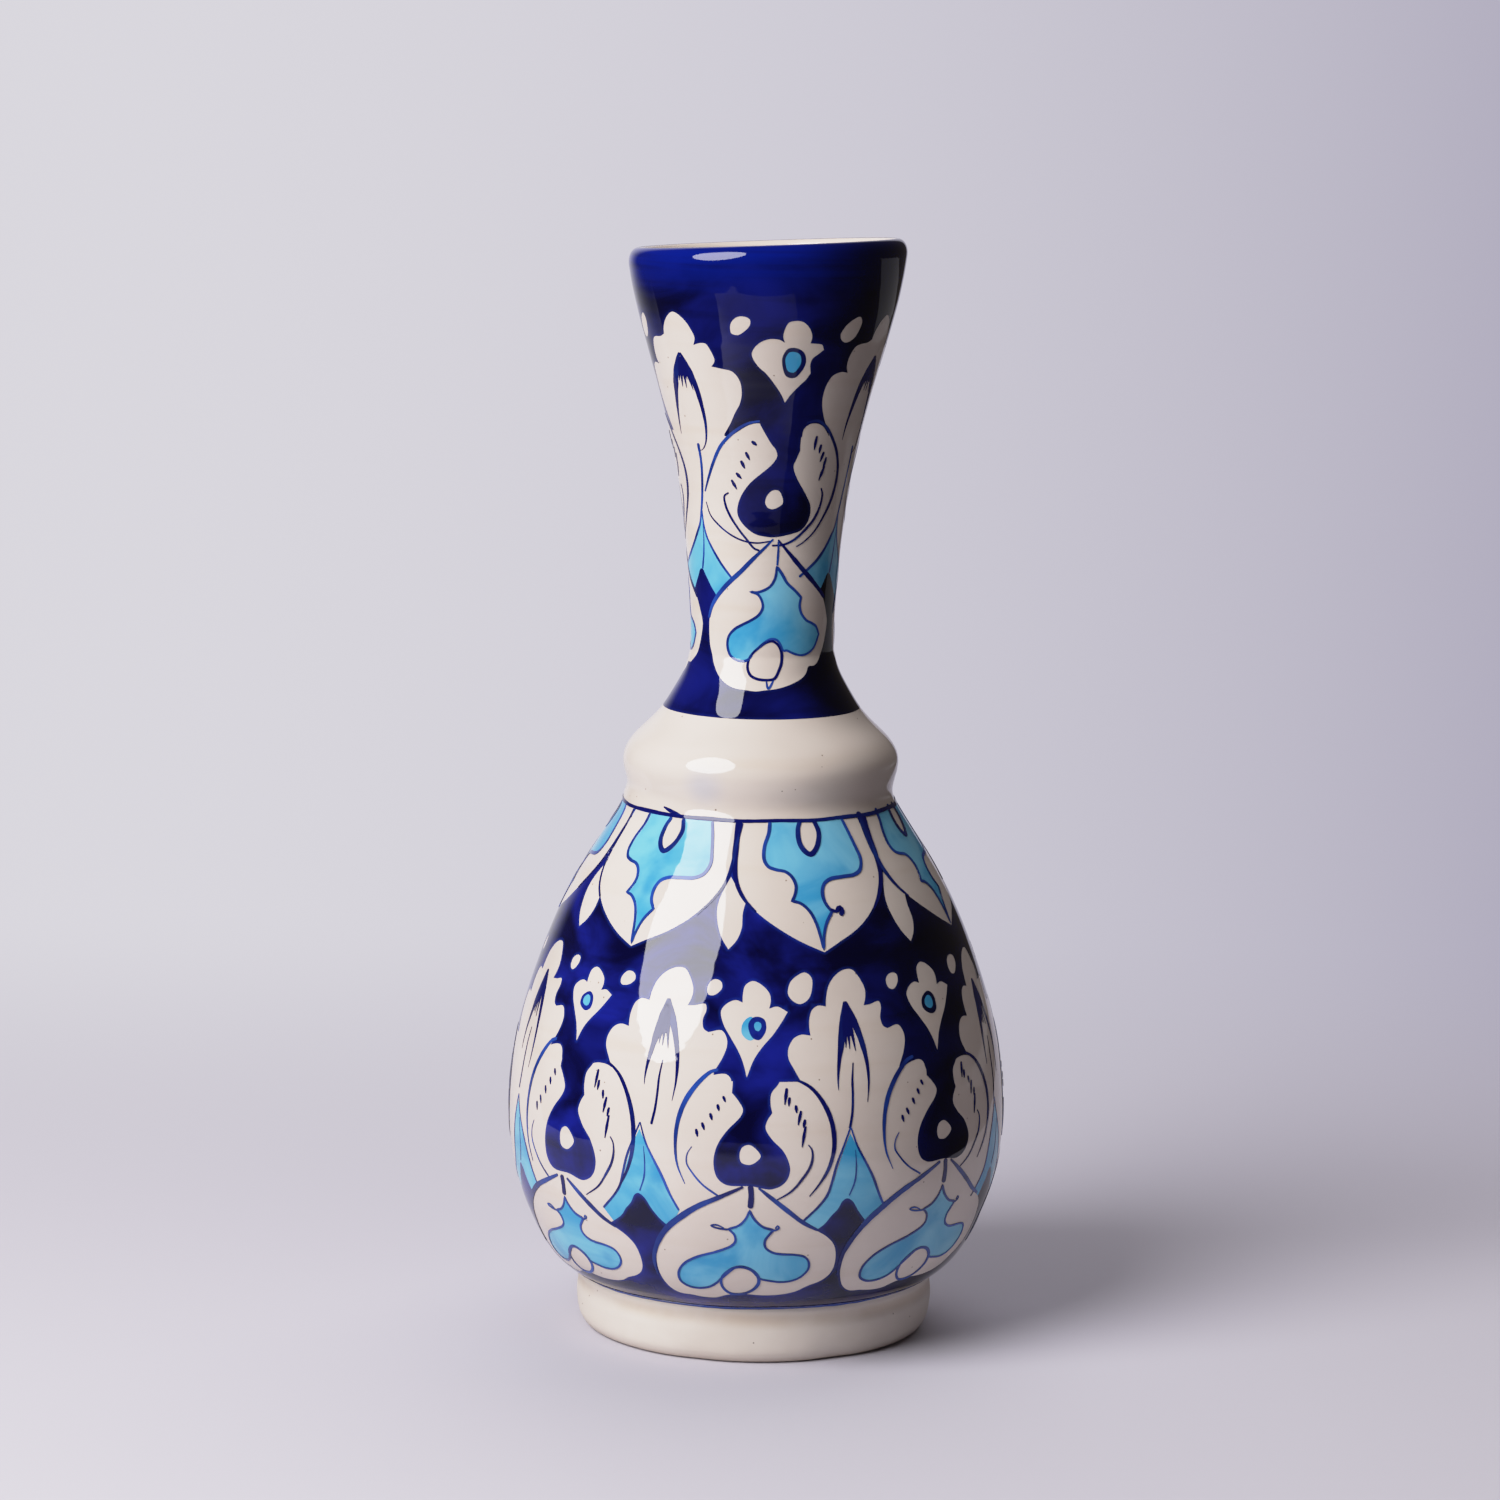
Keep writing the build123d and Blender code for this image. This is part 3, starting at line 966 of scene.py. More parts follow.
def body_lines(body):
    for _ in body.at_each(LEAVES, LEAF_AXIS):
        flame(body, LEFT_FLAME, RIGHT_FLAME, (22.4, 101), 5.5, 1.3)
        body.line(STEM, (0.25, 0.5, 0.55, 0.6), DARK)
    for _ in body.at_each(WEDGES, WEDGE_AXIS):
        body.line(LEFT_SPLIT, (0.3, 0.55, 0.6, 0.5), MEDIUM)
        body.line(RIGHT_SPLIT, (0.3, 0.5, 0.6, 0.5), MEDIUM)
        body.line(SPLIT_MIDDLE, (0.1, 0.3, 0.4, 0.3), MEDIUM)
    for _ in body.at_each(TULIPS, TULIP_AXIS):
        body.line(LEFT_ARC, (0.7, 1.1, 1.1, 0.9, 0.5, 0.15), MEDIUM)
        body.line(RIGHT_ARC, (0.5, 0.9, 1.1, 1, 0.7, 0.2), DARK)
        body.line(LEFT_FOLD, (0.15, 0.35, 0.4, 0.45), MEDIUM)
        body.line(RIGHT_FOLD, (0.25, 0.6, 0.6, 0.45, 0.2), DARK)
        for tick in LEFT_TICKS + RIGHT_TICKS:
            body.line(tick, (0.5, 0.75, 0.2), 1)
    for _ in body.at_each(PALMETTES, PALMETTE_AXIS):
        body.line(PALMETTE_LEFT, (0.6, 1.1, 1.4, 1.4, 1.1, 0.4), 0.6)
        body.line(PALMETTE_RIGHT, (0.5, 1.0, 1.1, 1, 0.6), 0.55)
        body.line(PALMETTE_HEART, (0.5, 0.6, 0.5, 0.6), MEDIUM, closed=True)
        body.line(PALMETTE_OVAL, (0.6, 0.8, 0.7, 0.6), MEDIUM, closed=True)
        body.line(LEFT_CURL, (0.4, 0.4, 0.3), MEDIUM)
        body.line(RIGHT_CURL, (0.4, 0.4, 0.3), MEDIUM)
        body.line([(-1.2, 54.6), (-1, 51.5), (-1.2, 48.2)], (1.3, 1.2, 1.3), 1)
    for turn, *_ in body.at_each(PETALS, PETAL_AXIS):
        body.line(PETAL_HEART, (0.8, 0.7, 0.6, 0.9, 0.7), MEDIUM)
        body.line(PETAL_OVAL, (0.9, 1.2, 1), 0.6)
        full = 0.5 if -120 < turn < -30 else 1
        body.line(PETAL_LEFT, (1.4 * full, 1.3 * full, full, 0.5), DARK)
        body.line(PETAL_RIGHT, (1.1 * full, 1.4 * full, 1.2 * full, 0.5), DARK)
    body.round_line(147.3, 12, (0.95, 0.9, 0.9, 0.8, 0.8, 0.9, 1, 1.15, 0.95), DARK)
    body.line([(-45, 149), (-40, 148.1), (-34, 147.2)], (0.3, 0.9, 0.9, 0.3), DARK)
    body.round_line(16.3, 9, (1.8, 1.7, 1.75, 1.9, 1.85, 1.8, 1.8), 0.25)
    body.line([(22.2, 125.3), (23.8, 124.7), (25.3, 125.5), (25.7, 124.3), (24.8, 123.8)],
              (0.6, 0.8, 1.2, 1.3, 0.9), DARK)


def flame(drawing, left, right, tip, reach, spread):
    """Two strokes from one tip, with the brush's dry hairs between them."""
    drawing.line(left, (0.6, 1.8, 1.8, 1.1, 0.6, 0.1), DARK)
    drawing.line(right, (0.6, 1.7, 1.3, 0.9, 0.5, 0.1), DARK)
    for i in range(7):
        share = i / 6 - 0.5
        length = reach * (1.15 + 0.6 * math.sin(i * 2.4))
        end = (tip[0] + share * spread * 2.2, tip[1] - length - 2)
        drawing.line([tip, ((tip[0] * 2 + end[0]) / 3, tip[1] - length / 3), end], (1.1, 1, 0.15), 1)


# ==== the neck's motifs ====
NECK_BULB = [
    (-4, 257, C), (-4, 254), (-3, 253.2, C), (-1.5, 251.8), (1, 249.8), (4, 247.6), (6.5, 246.2),
    (7.7, 244.5), (6, 242.8), (2, 241), (-4, 238.9), (-10, 236.6), (-15, 233.8), (-18, 231),
    (-18.8, 228.6), (-17, 226.6), (-12, 224.4), (-6, 222.9), (2, 222.2), (8, 222.1), (15, 222.5),
    (22, 223.1), (28, 224), (32, 225.8), (34, 228.4), (33, 231), (30, 233), (25, 236), (20.5, 239),
    (18.5, 241.5), (20, 243.5), (21.9, 245.8, C), (21.6, 248), (22, 250.5), (23.5, 252.3), (26, 253),
    (27, 257, C),
]
NECK_BULB_DOT = [
    (0.6, 231.8), (2.5, 233.9), (6, 235), (9.5, 234.9), (11.5, 233.8), (12.9, 231.5), (10, 230.4),
    (5.5, 229.8), (2, 230.4),
]
NECK_LEFT_WING = [
    (0, 251), (-2.6, 253.2), (-8, 253), (-15, 251.2), (-22, 248.8), (-28, 245.7), (-33, 242),
    (-38, 237.3), (-42, 234), (-43.5, 231), (-41, 227.5), (-34, 224), (-20, 218, C), (4, 220, C),
    (6, 246, C),
]
NECK_RIGHT_WING = [
    (21.8, 249), (22.6, 251.4), (25, 252.8), (30, 253.2), (35, 252.3), (40, 249.9), (46, 246.3),
    (51.5, 242.2), (54, 238), (53, 234), (50, 230.5), (43, 226), (34, 221), (20, 217, C), (10, 220, C),
    (14, 246, C),
]
NECK_LEFT_ARC = [
    (-3, 254), (-10, 253.2), (-18, 250.9), (-27, 247.1), (-34, 242.2), (-40, 237), (-43.6, 233.8),
]
NECK_LEFT_RETURN = [
    (-43.6, 231), (-40.5, 227.5), (-34, 225), (-25, 222.6), (-15, 221), (-5, 220.5), (5, 221),
]
NECK_RIGHT_ARC = [
    (24, 253.4), (31, 253.9), (38, 251.9), (44, 248.8), (50, 244.9), (54.4, 240.2), (54.9, 236),
    (51.5, 231), (45, 226.5), (38, 223), (30, 220.5), (24.5, 219.4),
]
NECK_LEFT_FOLD = [
    (-24.5, 234), (-27.8, 233), (-27.3, 230.5), (-24, 227.5), (-18, 224), (-12, 221.2), (-7, 219),
    (-3, 218.4),
]
NECK_RIGHT_FOLD = [
    (40.8, 235.2), (42.6, 233.5), (42, 230.5), (38, 227), (31, 224), (22, 221.2), (14, 220), (6, 219.8),
]
NECK_LEFT_TICKS = [
    [(-22, 237.6), (-18.4, 235)], [(-18.6, 239.6), (-15, 238)], [(-15, 243), (-12.6, 240.8)],
    [(-11.8, 245.4), (-9.4, 243.2)], [(-8, 248.4), (-4.8, 247.3)],
]
NECK_RIGHT_TICKS = [
    [(32, 249.7), (31.4, 245.8)], [(36, 247.3), (35.3, 244.8)], [(38.9, 245.2), (37, 242.4)],
    [(41.6, 243.7), (40, 240.4)], [(41.2, 241.3), (38, 237.3)],
]
NECK_KITE = [
    (14.5, 281.3), (17.5, 280.5), (20, 278.8), (21.2, 276.8), (20.7, 275.2, C), (24, 275), (26.5, 274.8),
    (28, 273.3, C), (25.5, 272.2), (22.8, 271), (21.9, 269.5), (22.7, 267, C), (20.5, 265.2),
    (17, 263.4), (13, 261), (10.4, 259, C), (8.5, 261), (5, 263.7), (0, 267), (-4, 269), (-6.8, 271.8),
    (-6, 273.5), (-2.5, 275.5), (2, 276.4), (6, 276.2), (8.6, 275.4, C), (7.6, 277), (8.2, 279),
    (10, 280.9),
]
NECK_LEAF = [
    (-24.5, 250, C), (-20.2, 253), (-17, 256), (-14, 258.5), (-12.6, 261.5), (-13.5, 265), (-17, 267.3),
    (-22, 267.9), (-27.8, 268.4, C), (-25.7, 270), (-27.5, 273), (-29.5, 274.6), (-33, 274.6),
    (-36.3, 274, C), (-35, 276), (-37, 278.8), (-40, 281), (-45.5, 282.7), (-50, 281.3), (-54, 278.4),
    (-55, 276.4, C), (-58.5, 275.6), (-63, 275.4), (-66.5, 274.8), (-69.3, 272.3), (-69.8, 269.3),
    (-68.3, 267.7, C), (-73, 268), (-78, 267), (-81, 264), (-81.5, 260), (-79, 256), (-75, 252.5),
    (-71, 249.5, C), (-71, 245, C), (-24.5, 245, C),
]
NECK_LEFT_FLAME = [(-46.4, 271.6), (-50, 268.2), (-53.8, 264), (-57.2, 258), (-59.3, 253), (-60, 249)]
NECK_RIGHT_FLAME = [
    (-46, 271.6), (-42.5, 267.7), (-39, 262), (-36.9, 256), (-36.5, 251.5), (-38, 247.5), (-41, 245.5),
    (-44, 244.9),
]
NECK_STEM = [(-44.6, 247), (-44.1, 242), (-45.5, 236), (-48, 230.5), (-50, 227.3)]
NECK_LEFT_SPLIT = [
    (-49.4, 228.3), (-52, 224.8), (-56, 222.4), (-62, 219.3), (-70, 216.2), (-80, 213.4), (-85, 212),
]
NECK_RIGHT_SPLIT = [
    (-48.9, 229.3), (-48.2, 225), (-46, 221.6), (-40, 217.8), (-33, 214.2), (-24.4, 210.5),
]
NECK_SPLIT_MIDDLE = [(-48.8, 225.5), (-49.2, 220.5), (-50.6, 216), (-53, 212.3)]
NECK_WEDGE = [
    (-49.2, 227, C), (-53, 223.6), (-60, 220), (-70, 216), (-84, 212.2, C), (-76, 202, C), (-36, 202, C),
    (-24.5, 210.3, C), (-33, 214.2), (-40, 217.8), (-46, 221.6),
]
NECK_PEAK = [
    (-56, 212.2), (-59, 210.5), (-65, 207.3), (-72, 204.3, C), (-80, 198, C), (-80, 178, C),
    (-30, 178, C), (-30, 200, C), (-38.3, 205.3, C), (-44, 207.9), (-50, 211), (-52.5, 212.2),
]
NECK_PALMETTE = [
    (8.5, 221.6, C), (4, 220.1), (-3, 217.5), (-10, 214.8), (-17, 212.3), (-23, 210.4), (-31, 207.7),
    (-38, 205), (-43, 202.3), (-46.5, 199.5), (-47.3, 196), (-46.5, 192), (-44, 189.3), (-40, 186.5),
    (-34, 183.8), (-27, 182), (-20, 181), (-12, 180.6), (-4, 180.3), (2, 180.6), (8, 180.8),
    (15, 181.3), (24, 182.3), (32, 183.6), (36, 184.8), (38.5, 186.3), (45, 186.5), (51, 188),
    (56, 190.5), (60, 194), (62.3, 198), (60, 200.6), (57, 203), (52, 206), (45, 208.5), (38, 211),
    (30, 214.2), (22, 217.5), (14, 220.6),
]
NECK_PALMETTE_LEFT = [
    (7, 221.6), (0, 218.9), (-8, 216), (-17, 212.6), (-24, 210.3), (-31, 207.9), (-38, 205.2),
    (-44, 202.2), (-47.5, 199),
]
NECK_PALMETTE_RIGHT = [
    (10.5, 221.4), (18, 218.2), (27, 214.6), (35, 211.7), (43, 209), (50, 206.7), (55.5, 204.8),
]
NECK_HEART = [
    (10.3, 214, C), (9.2, 210.9), (6, 208.8), (1, 207.6), (-5, 206.9), (-9.8, 207.1, C), (-4, 206.4),
    (-1, 204.8), (0, 202.9), (-2.5, 201), (-8, 199.5), (-16, 198), (-23, 196.5), (-28, 194.3),
    (-28.8, 191.8), (-26.5, 189.6), (-22, 188.4), (-15, 188), (-10.5, 188.7), (-7.5, 190.3),
    (-3, 191.8), (2, 193.3), (7, 194.2), (12, 193.8), (15, 192.4), (17, 191), (20, 191), (25, 190.2),
    (33, 189.5), (40, 190), (46, 191.5), (51, 194.8, C), (47.5, 197), (43, 198), (37, 199), (32, 201),
    (30.2, 203), (31, 205.4, C), (26, 207.2), (19, 209.4), (14, 212.2),
]
NECK_OVAL = [
    (-10.5, 188.7), (-7.5, 190.3), (-3, 191.7), (3, 193.2), (8, 193.6), (13, 192.4), (15.7, 190.3),
    (15.6, 188), (13, 185.6), (9.5, 183.6), (4, 183.2), (-4, 183.5), (-9, 184.5), (-11.3, 186.4),
]
NECK_TULIPS = [(0, 0), (121, 0.8), (-118, -0.6)]
NECK_LEAVES = [(0, 0), (113.5, -1), (233, 0.5)]


def neck_fills(neck):
    neck.fill("cobalt", band(249.5, 303))
    for _ in neck.at_each(NECK_LEAVES):
        neck.fill("bare", NECK_LEAF)
    for _ in neck.at_each(NECK_TULIPS):
        neck.fill("bare", NECK_LEFT_WING)
        neck.fill("bare", NECK_RIGHT_WING)
        neck.fill("cobalt", NECK_BULB)
        neck.fill("bare", NECK_BULB_DOT)
        neck.fill("bare", NECK_KITE)
        neck.fill("bare", oval(-12, 279.9, 4.4, 2.6, 0.4))
        neck.fill("bare", oval(41.8, 278.4, 5.2, 3.4, 0.5))
        neck.fill("cobalt", oval(13.4, 270, 5.9, 4.2))
        neck.fill("turquoise", oval(13.1, 270.2, 3.9, 2.9))
    for _ in neck.at_each(NECK_LEAVES):
        neck.fill("turquoise", NECK_WEDGE)
        neck.fill("cobalt", NECK_PEAK)
    neck.fill("cobalt", band(170, 186))
    for _ in neck.at_each(NECK_TULIPS):
        neck.fill("bare", NECK_PALMETTE)
        neck.fill("turquoise", NECK_HEART)
        neck.fill("bare", NECK_OVAL)


def neck_lines(neck):
    for _ in neck.at_each(NECK_LEAVES):
        flame(neck, NECK_LEFT_FLAME, NECK_RIGHT_FLAME, (-46, 270.5), 4, 4.2)
        neck.line(NECK_STEM, (0.8, 0.7, 0.7, 0.6), MEDIUM)
        neck.line(NECK_LEFT_SPLIT, (0.5, 0.7, 0.7, 0.6), MEDIUM)
        neck.line(NECK_RIGHT_SPLIT, (0.4, 0.5, 0.6, 0.5), MEDIUM)
        neck.line(NECK_SPLIT_MIDDLE, (0.1, 0.3, 0.5, 0.6), MEDIUM)
    for _ in neck.at_each(NECK_TULIPS):
        neck.line(NECK_LEFT_ARC, (0.5, 0.7, 0.8, 0.7, 0.4), MEDIUM)
        neck.line(NECK_LEFT_RETURN, (0.2, 0.4, 0.4, 0.4, 0.3), DARK)
        neck.line(NECK_RIGHT_ARC, (0.5, 0.7, 0.8, 0.9, 0.5, 0.2), DARK)
        neck.line(NECK_LEFT_FOLD, (0.4, 0.6, 0.5, 0.5), DARK)
        neck.line(NECK_RIGHT_FOLD, (0.4, 0.7, 0.6, 0.4), DARK)
        for tick in NECK_LEFT_TICKS + NECK_RIGHT_TICKS:
            neck.line(tick, (0.5, 0.8, 0.2), 1)
        neck.line(NECK_PALMETTE_LEFT, (0.4, 0.9, 1, 1, 0.7), MEDIUM)
        neck.line(NECK_PALMETTE_RIGHT, (0.4, 1, 1.1, 0.8), DARK)
        neck.line([(10.9, 221), (10.9, 218), (10.5, 214.3)], (0.4, 0.5, 0.5), MEDIUM)
        neck.line(NECK_HEART, (0.6, 0.6, 0.5, 0.7), MEDIUM, closed=True)
        neck.line(NECK_OVAL, (0.5, 0.7, 0.6), DARK, closed=True)
        neck.line([(3, 183.4), (4.5, 181), (9, 183.4)], (0.3, 0.6, 0.3), MEDIUM)


# ==== materials ====
class Finish:
    """A glazed material: a coloured base under a clear coat, built node by node."""

    def __init__(self, name, roughness=0.5, coat=1.0, coat_roughness=0.03):
        self.material = bpy.data.materials.new(name)
        self.material.use_nodes = True
        self.tree = self.material.node_tree
        self.shader = self.tree.nodes["Principled BSDF"]
        self.shader.inputs["Roughness"].default_value = roughness
        self.shader.inputs["Specular IOR Level"].default_value = 0.0
        self.shader.inputs["Coat Weight"].default_value = coat
        self.shader.inputs["Coat Roughness"].default_value = coat_roughness
        self.shader.inputs["Coat IOR"].default_value = 1.46
        self.place = self.node("TexCoord").outputs["Object"]
        self.x, self.y, self.z = self.node("SeparateXYZ", Vector=self.place).outputs

    def node(self, kind, settings=None, **inputs):
        """A node of that kind; an input is a value or another node's output."""
        made = self.tree.nodes.new("ShaderNode" + kind)
        for key, value in (settings or {}).items():
            setattr(made, key, value)
        for key, value in inputs.items():
            self.set(made.inputs[key.replace("_", " ")], value)
        return made

    def set(self, socket, value):
        if isinstance(value, bpy.types.NodeSocket):
            self.tree.links.new(value, socket)
        else:
            socket.default_value = value

    def noise(self, scale, detail=2.0, stretch=(1, 1, 1), offset=0.0, distortion=0.0):
        moved = self.node("Mapping", Vector=self.place, Scale=stretch, Location=(offset, offset, offset))
        made = self.node("TexNoise", Vector=moved.outputs["Vector"], Scale=scale, Detail=detail,
                         Distortion=distortion)
        return made.outputs["Fac"]

    def attribute(self, name):
        return self.node("Attribute", {"attribute_name": name}).outputs["Fac"]

    def ramp(self, value, low, high, most=1.0):
        """0 below low, most above high, smooth between them; it falls where low is above high."""
        made = self.node("MapRange", {"interpolation_type": "SMOOTHSTEP"}, Value=value, From_Min=low,
                         From_Max=high, To_Max=most)
        return made.outputs["Result"]

    def mix(self, share, a, b):
        made = self.node("Mix", {"data_type": "RGBA"})
        self.set(made.inputs[0], share)
        self.set(made.inputs[6], colour(a))
        self.set(made.inputs[7], colour(b))
        return made.outputs[2]

    def math(self, operation, a, b=0.0):
        made = self.node("Math", {"operation": operation})
        self.set(made.inputs[0], a)
        self.set(made.inputs[1], b)
        return made.outputs[0]

    def bumped(self, height, distance):
        """Surface relief: height 0 to 1 over that distance in mm."""
        bump = self.node("Bump", Height=height, Distance=distance * MM)
        self.set(self.shader.inputs["Normal"], bump.outputs["Normal"])
        self.set(self.shader.inputs["Coat Normal"], bump.outputs["Normal"])

    def relief(self):
        """The glaze's slow waviness and its fine orange peel."""
        slow = self.noise(70, 1.0, (1, 1, 1.4))
        fine = self.noise(420, 1.0)
        both = self.math("ADD", self.math("MULTIPLY", slow, 0.8), self.math("MULTIPLY", fine, 0.08))
        self.bumped(both, 0.05)

    def glazed(self, base):
        """The material with that colour under the clear glaze."""
        self.relief()
        return self.coloured(base)

    def coloured(self, base):
        self.set(self.shader.inputs["Base Color"], base)
        return self.material


def colour(value):
    """A colour given as three sRGB numbers from 0 to 255 turned into a linear one."""
    if isinstance(value, bpy.types.NodeSocket):
        return value
    linear = []
    for part in value:
        part /= 255
        linear.append(part / 12.92 if part <= 0.04045 else ((part + 0.055) / 1.055) ** 2.4)
    return (*linear, 1.0)


def cream_glaze():
    """Cream slip, cloudy and faintly streaked, dusted with blue on the collar, with painted shade in the
    groove under the collar.
    """
    finish = Finish("cream_glaze")
    cloud = finish.noise(22, 3.0)
    base = finish.mix(finish.ramp(cloud, 0.3, 0.7), (209, 197, 188), (217, 206, 197))
    streak = finish.noise(60, 2.0, (0.25, 0.25, 3.0))
    base = finish.mix(finish.ramp(streak, 0.5, 0.8, 0.35), base, (204, 187, 171))
    away = finish.node("VectorMath", {"operation": "DISTANCE"}, Vector=finish.place)
    away.inputs[1].default_value = (-0.0155, -0.034, 0.156)
    ragged = finish.math("ADD", away.outputs["Value"], finish.math("MULTIPLY", cloud, 0.008))
    base = finish.mix(finish.ramp(ragged, 0.012, 0.005, 0.3), base, (150, 165, 195))
    # painted shade: the cream is darkened in a narrow band at the groove under the collar
    from_shaded_groove = finish.math("ABSOLUTE", finish.math("SUBTRACT", finish.z, 0.1490))
    base = finish.mix(finish.ramp(from_shaded_groove, 0.005, 0.0, 0.15), base, (168, 154, 144))
    return finish.glazed(specks(finish, base))


def specks(finish, base):
    """Iron specks and pinholes: a few cells of a fine pattern carry a dark dot each."""
    for scale, rarity, size, tone in ((420, 0.9, 0.1, (112, 92, 76)), (170, 0.88, 0.045, (62, 48, 38))):
        cells = finish.node("TexVoronoi", Vector=finish.place, Scale=scale)
        chance = finish.node("SeparateColor", Color=cells.outputs["Color"]).outputs["Red"]
        chosen = finish.math("GREATER_THAN", chance, rarity)
        dot = finish.math("LESS_THAN", cells.outputs["Distance"], size)
        share = finish.math("MULTIPLY", finish.math("MULTIPLY", chosen, dot), 0.7)
        base = finish.mix(share, base, tone)
    return base


def foot_clay():
    """Dry clay, with painted shade in the groove under the body and at its lower edge, where the foot meets
    the floor.
    """
    finish = Finish("foot_clay", coat=0.3, coat_roughness=0.25)
    base = finish.mix(finish.ramp(finish.noise(30, 4.0), 0.3, 0.7), (211, 201, 190), (222, 213, 203))
    wavy = finish.math("ADD", finish.z, finish.math("MULTIPLY", finish.noise(20, 2.0), 0.002))
    # painted shade: a ragged brown band over the groove under the body
    groove = finish.math("MULTIPLY", finish.ramp(wavy, 0.0105, 0.0135), finish.ramp(wavy, 0.0162, 0.0142))
    ragged = finish.ramp(finish.noise(70, 3.0, (1, 1, 0.5)), 0.2, 0.65, 0.35)
    base = finish.mix(finish.math("MULTIPLY", groove, ragged), base, (188, 164, 134))
    # painted shade: darker at the lowest few mm, where the foot meets the floor
    base = finish.mix(finish.ramp(finish.z, 0.0025, 0.0, 0.5), base, (178, 158, 140))
    finish.bumped(finish.noise(260, 3.0, (1, 1, 2)), 0.06)
    return finish.coloured(specks(finish, base))


def cobalt():
    """Cobalt in washes and level brush marks: darker on the neck, worn at the rim, paler at its edges, and
    with painted shade towards the right.
    """
    finish = Finish("cobalt_paint")
    wash = finish.noise(38, 4.0, (1, 1, 1.5), 3.0, 0.6)
    base = finish.mix(finish.ramp(wash, 0.35, 0.72), (4, 4, 44), (22, 30, 132))
    brush = finish.noise(55, 3.0, (0.35, 0.35, 4.0), 8.0)
    base = finish.mix(finish.ramp(brush, 0.52, 0.75, 0.45), base, (3, 3, 30))
    base = finish.mix(finish.ramp(finish.z, 0.165, 0.17, 0.42), base, (2, 3, 26))
    streak = finish.ramp(finish.noise(70, 3.0, (0.25, 0.25, 9.0), 4.0), -0.1, 0.7)
    rim = finish.math("MULTIPLY", finish.ramp(finish.z, 0.285, 0.297), streak)
    base = finish.mix(rim, base, (5, 22, 118))
    fringe = finish.ramp(finish.attribute("depth"), 1.1, 0.1)
    most = finish.math("SUBTRACT", 0.45, finish.ramp(finish.z, 0.165, 0.17, 0.3))
    base = finish.mix(finish.math("MULTIPLY", fringe, most), base, (26, 50, 145))
    # painted shade: the cobalt turns darker towards the right, away from the softbox
    return finish.glazed(finish.mix(shade_to_the_right(finish), base, (2, 2, 12)))


def shade_to_the_right(finish):
    """The cobalt is darkened towards the right of the front, the side away from the softbox: painted shade.
    """
    squares = [finish.math("MULTIPLY", side, side) for side in (finish.x, finish.y)]
    to_right = finish.math("DIVIDE", finish.x, finish.math("SQRT", finish.math("ADD", *squares)))
    wander = finish.math("MULTIPLY", finish.noise(60, 3.0, (1, 1, 1), 6.0), 0.3)
    return finish.ramp(finish.math("ADD", to_right, wander), 0.3, 0.95, 0.8)


def turquoise():
    """A watery turquoise wash, deeper where it pooled."""
    finish = Finish("turquoise_paint")
    wash = finish.noise(45, 4.0, (1, 1, 1), 5.0, 0.8)
    base = finish.mix(finish.ramp(wash, 0.32, 0.7), (58, 152, 200), (122, 192, 220))
    pool = finish.noise(90, 2.0, (1, 1, 1), 11.0)
    return finish.glazed(finish.mix(finish.ramp(pool, 0.6, 0.75, 0.4), base, (36, 134, 190)))


def line_paint():
    """Brush lines, paler where the brush ran dry."""
    finish = Finish("line_paint")
    wash = finish.noise(160, 3.0, (1, 1, 1), 2.0)
    uneven = finish.math("MULTIPLY", finish.math("SUBTRACT", wash, 0.5), 0.6)
    depth = finish.math("ADD", finish.attribute("ink"), uneven)
    return finish.glazed(finish.mix(finish.ramp(depth, -0.05, 0.85), (42, 80, 170), (12, 17, 88)))


def paper():
    """White paper that takes shadows in front and, behind, glows with painted light: bright at the left and
    darker to the right as the softbox's light fades across it, and dim far to the left.
    """
    finish = Finish("stage_paper", roughness=0.9, coat=0.0)
    finish.coloured(finish.mix(finish.ramp(finish.y, -0.42, -0.3), (118, 114, 124), (197, 194, 204)))
    # painted light: the paper behind glows, brightest at the left, fading to the right and dim far to the
    # left
    fan = finish.math("DIVIDE", finish.x, finish.math("ADD", finish.y, 1.42))
    across = finish.node("MapRange", Value=fan, From_Min=-0.142, From_Max=0.146)
    eased = finish.math("POWER", across.outputs["Result"], 1.6)
    glow = finish.mix(eased, (222, 219, 229), (177, 173, 190))
    glow = finish.mix(finish.ramp(fan, -0.17, -0.5), glow, (60, 58, 66))
    emission = finish.node("Emission", Color=glow)
    blend_shaders(finish.tree, finish.ramp(finish.y, 0.02, 0.6), finish.shader, emission)
    return finish.material


def blend_shaders(tree, share, first, second):
    """Sends the material's or world's output a blend of two shader nodes."""
    both = tree.nodes.new("ShaderNodeMixShader")
    tree.links.new(share, both.inputs[0])
    tree.links.new(first.outputs[0], both.inputs[1])
    tree.links.new(second.outputs[0], both.inputs[2])
    ending = next(node for node in tree.nodes if node.type.startswith("OUTPUT"))
    tree.links.new(both.outputs[0], ending.inputs["Surface"])


# ==== stage, camera and lights ====
# The flat paper's edges in metres: how far back, then its left and right
PAPER_EDGES = [
    (-0.6, -0.35, 0.25), (-0.47, -0.5, 0.23), (-0.32, -0.31, 0.21), (-0.1, -0.32, 0.22),
    (0.1, -0.34, 0.26), (0.8, -1.5, 0.39),
]


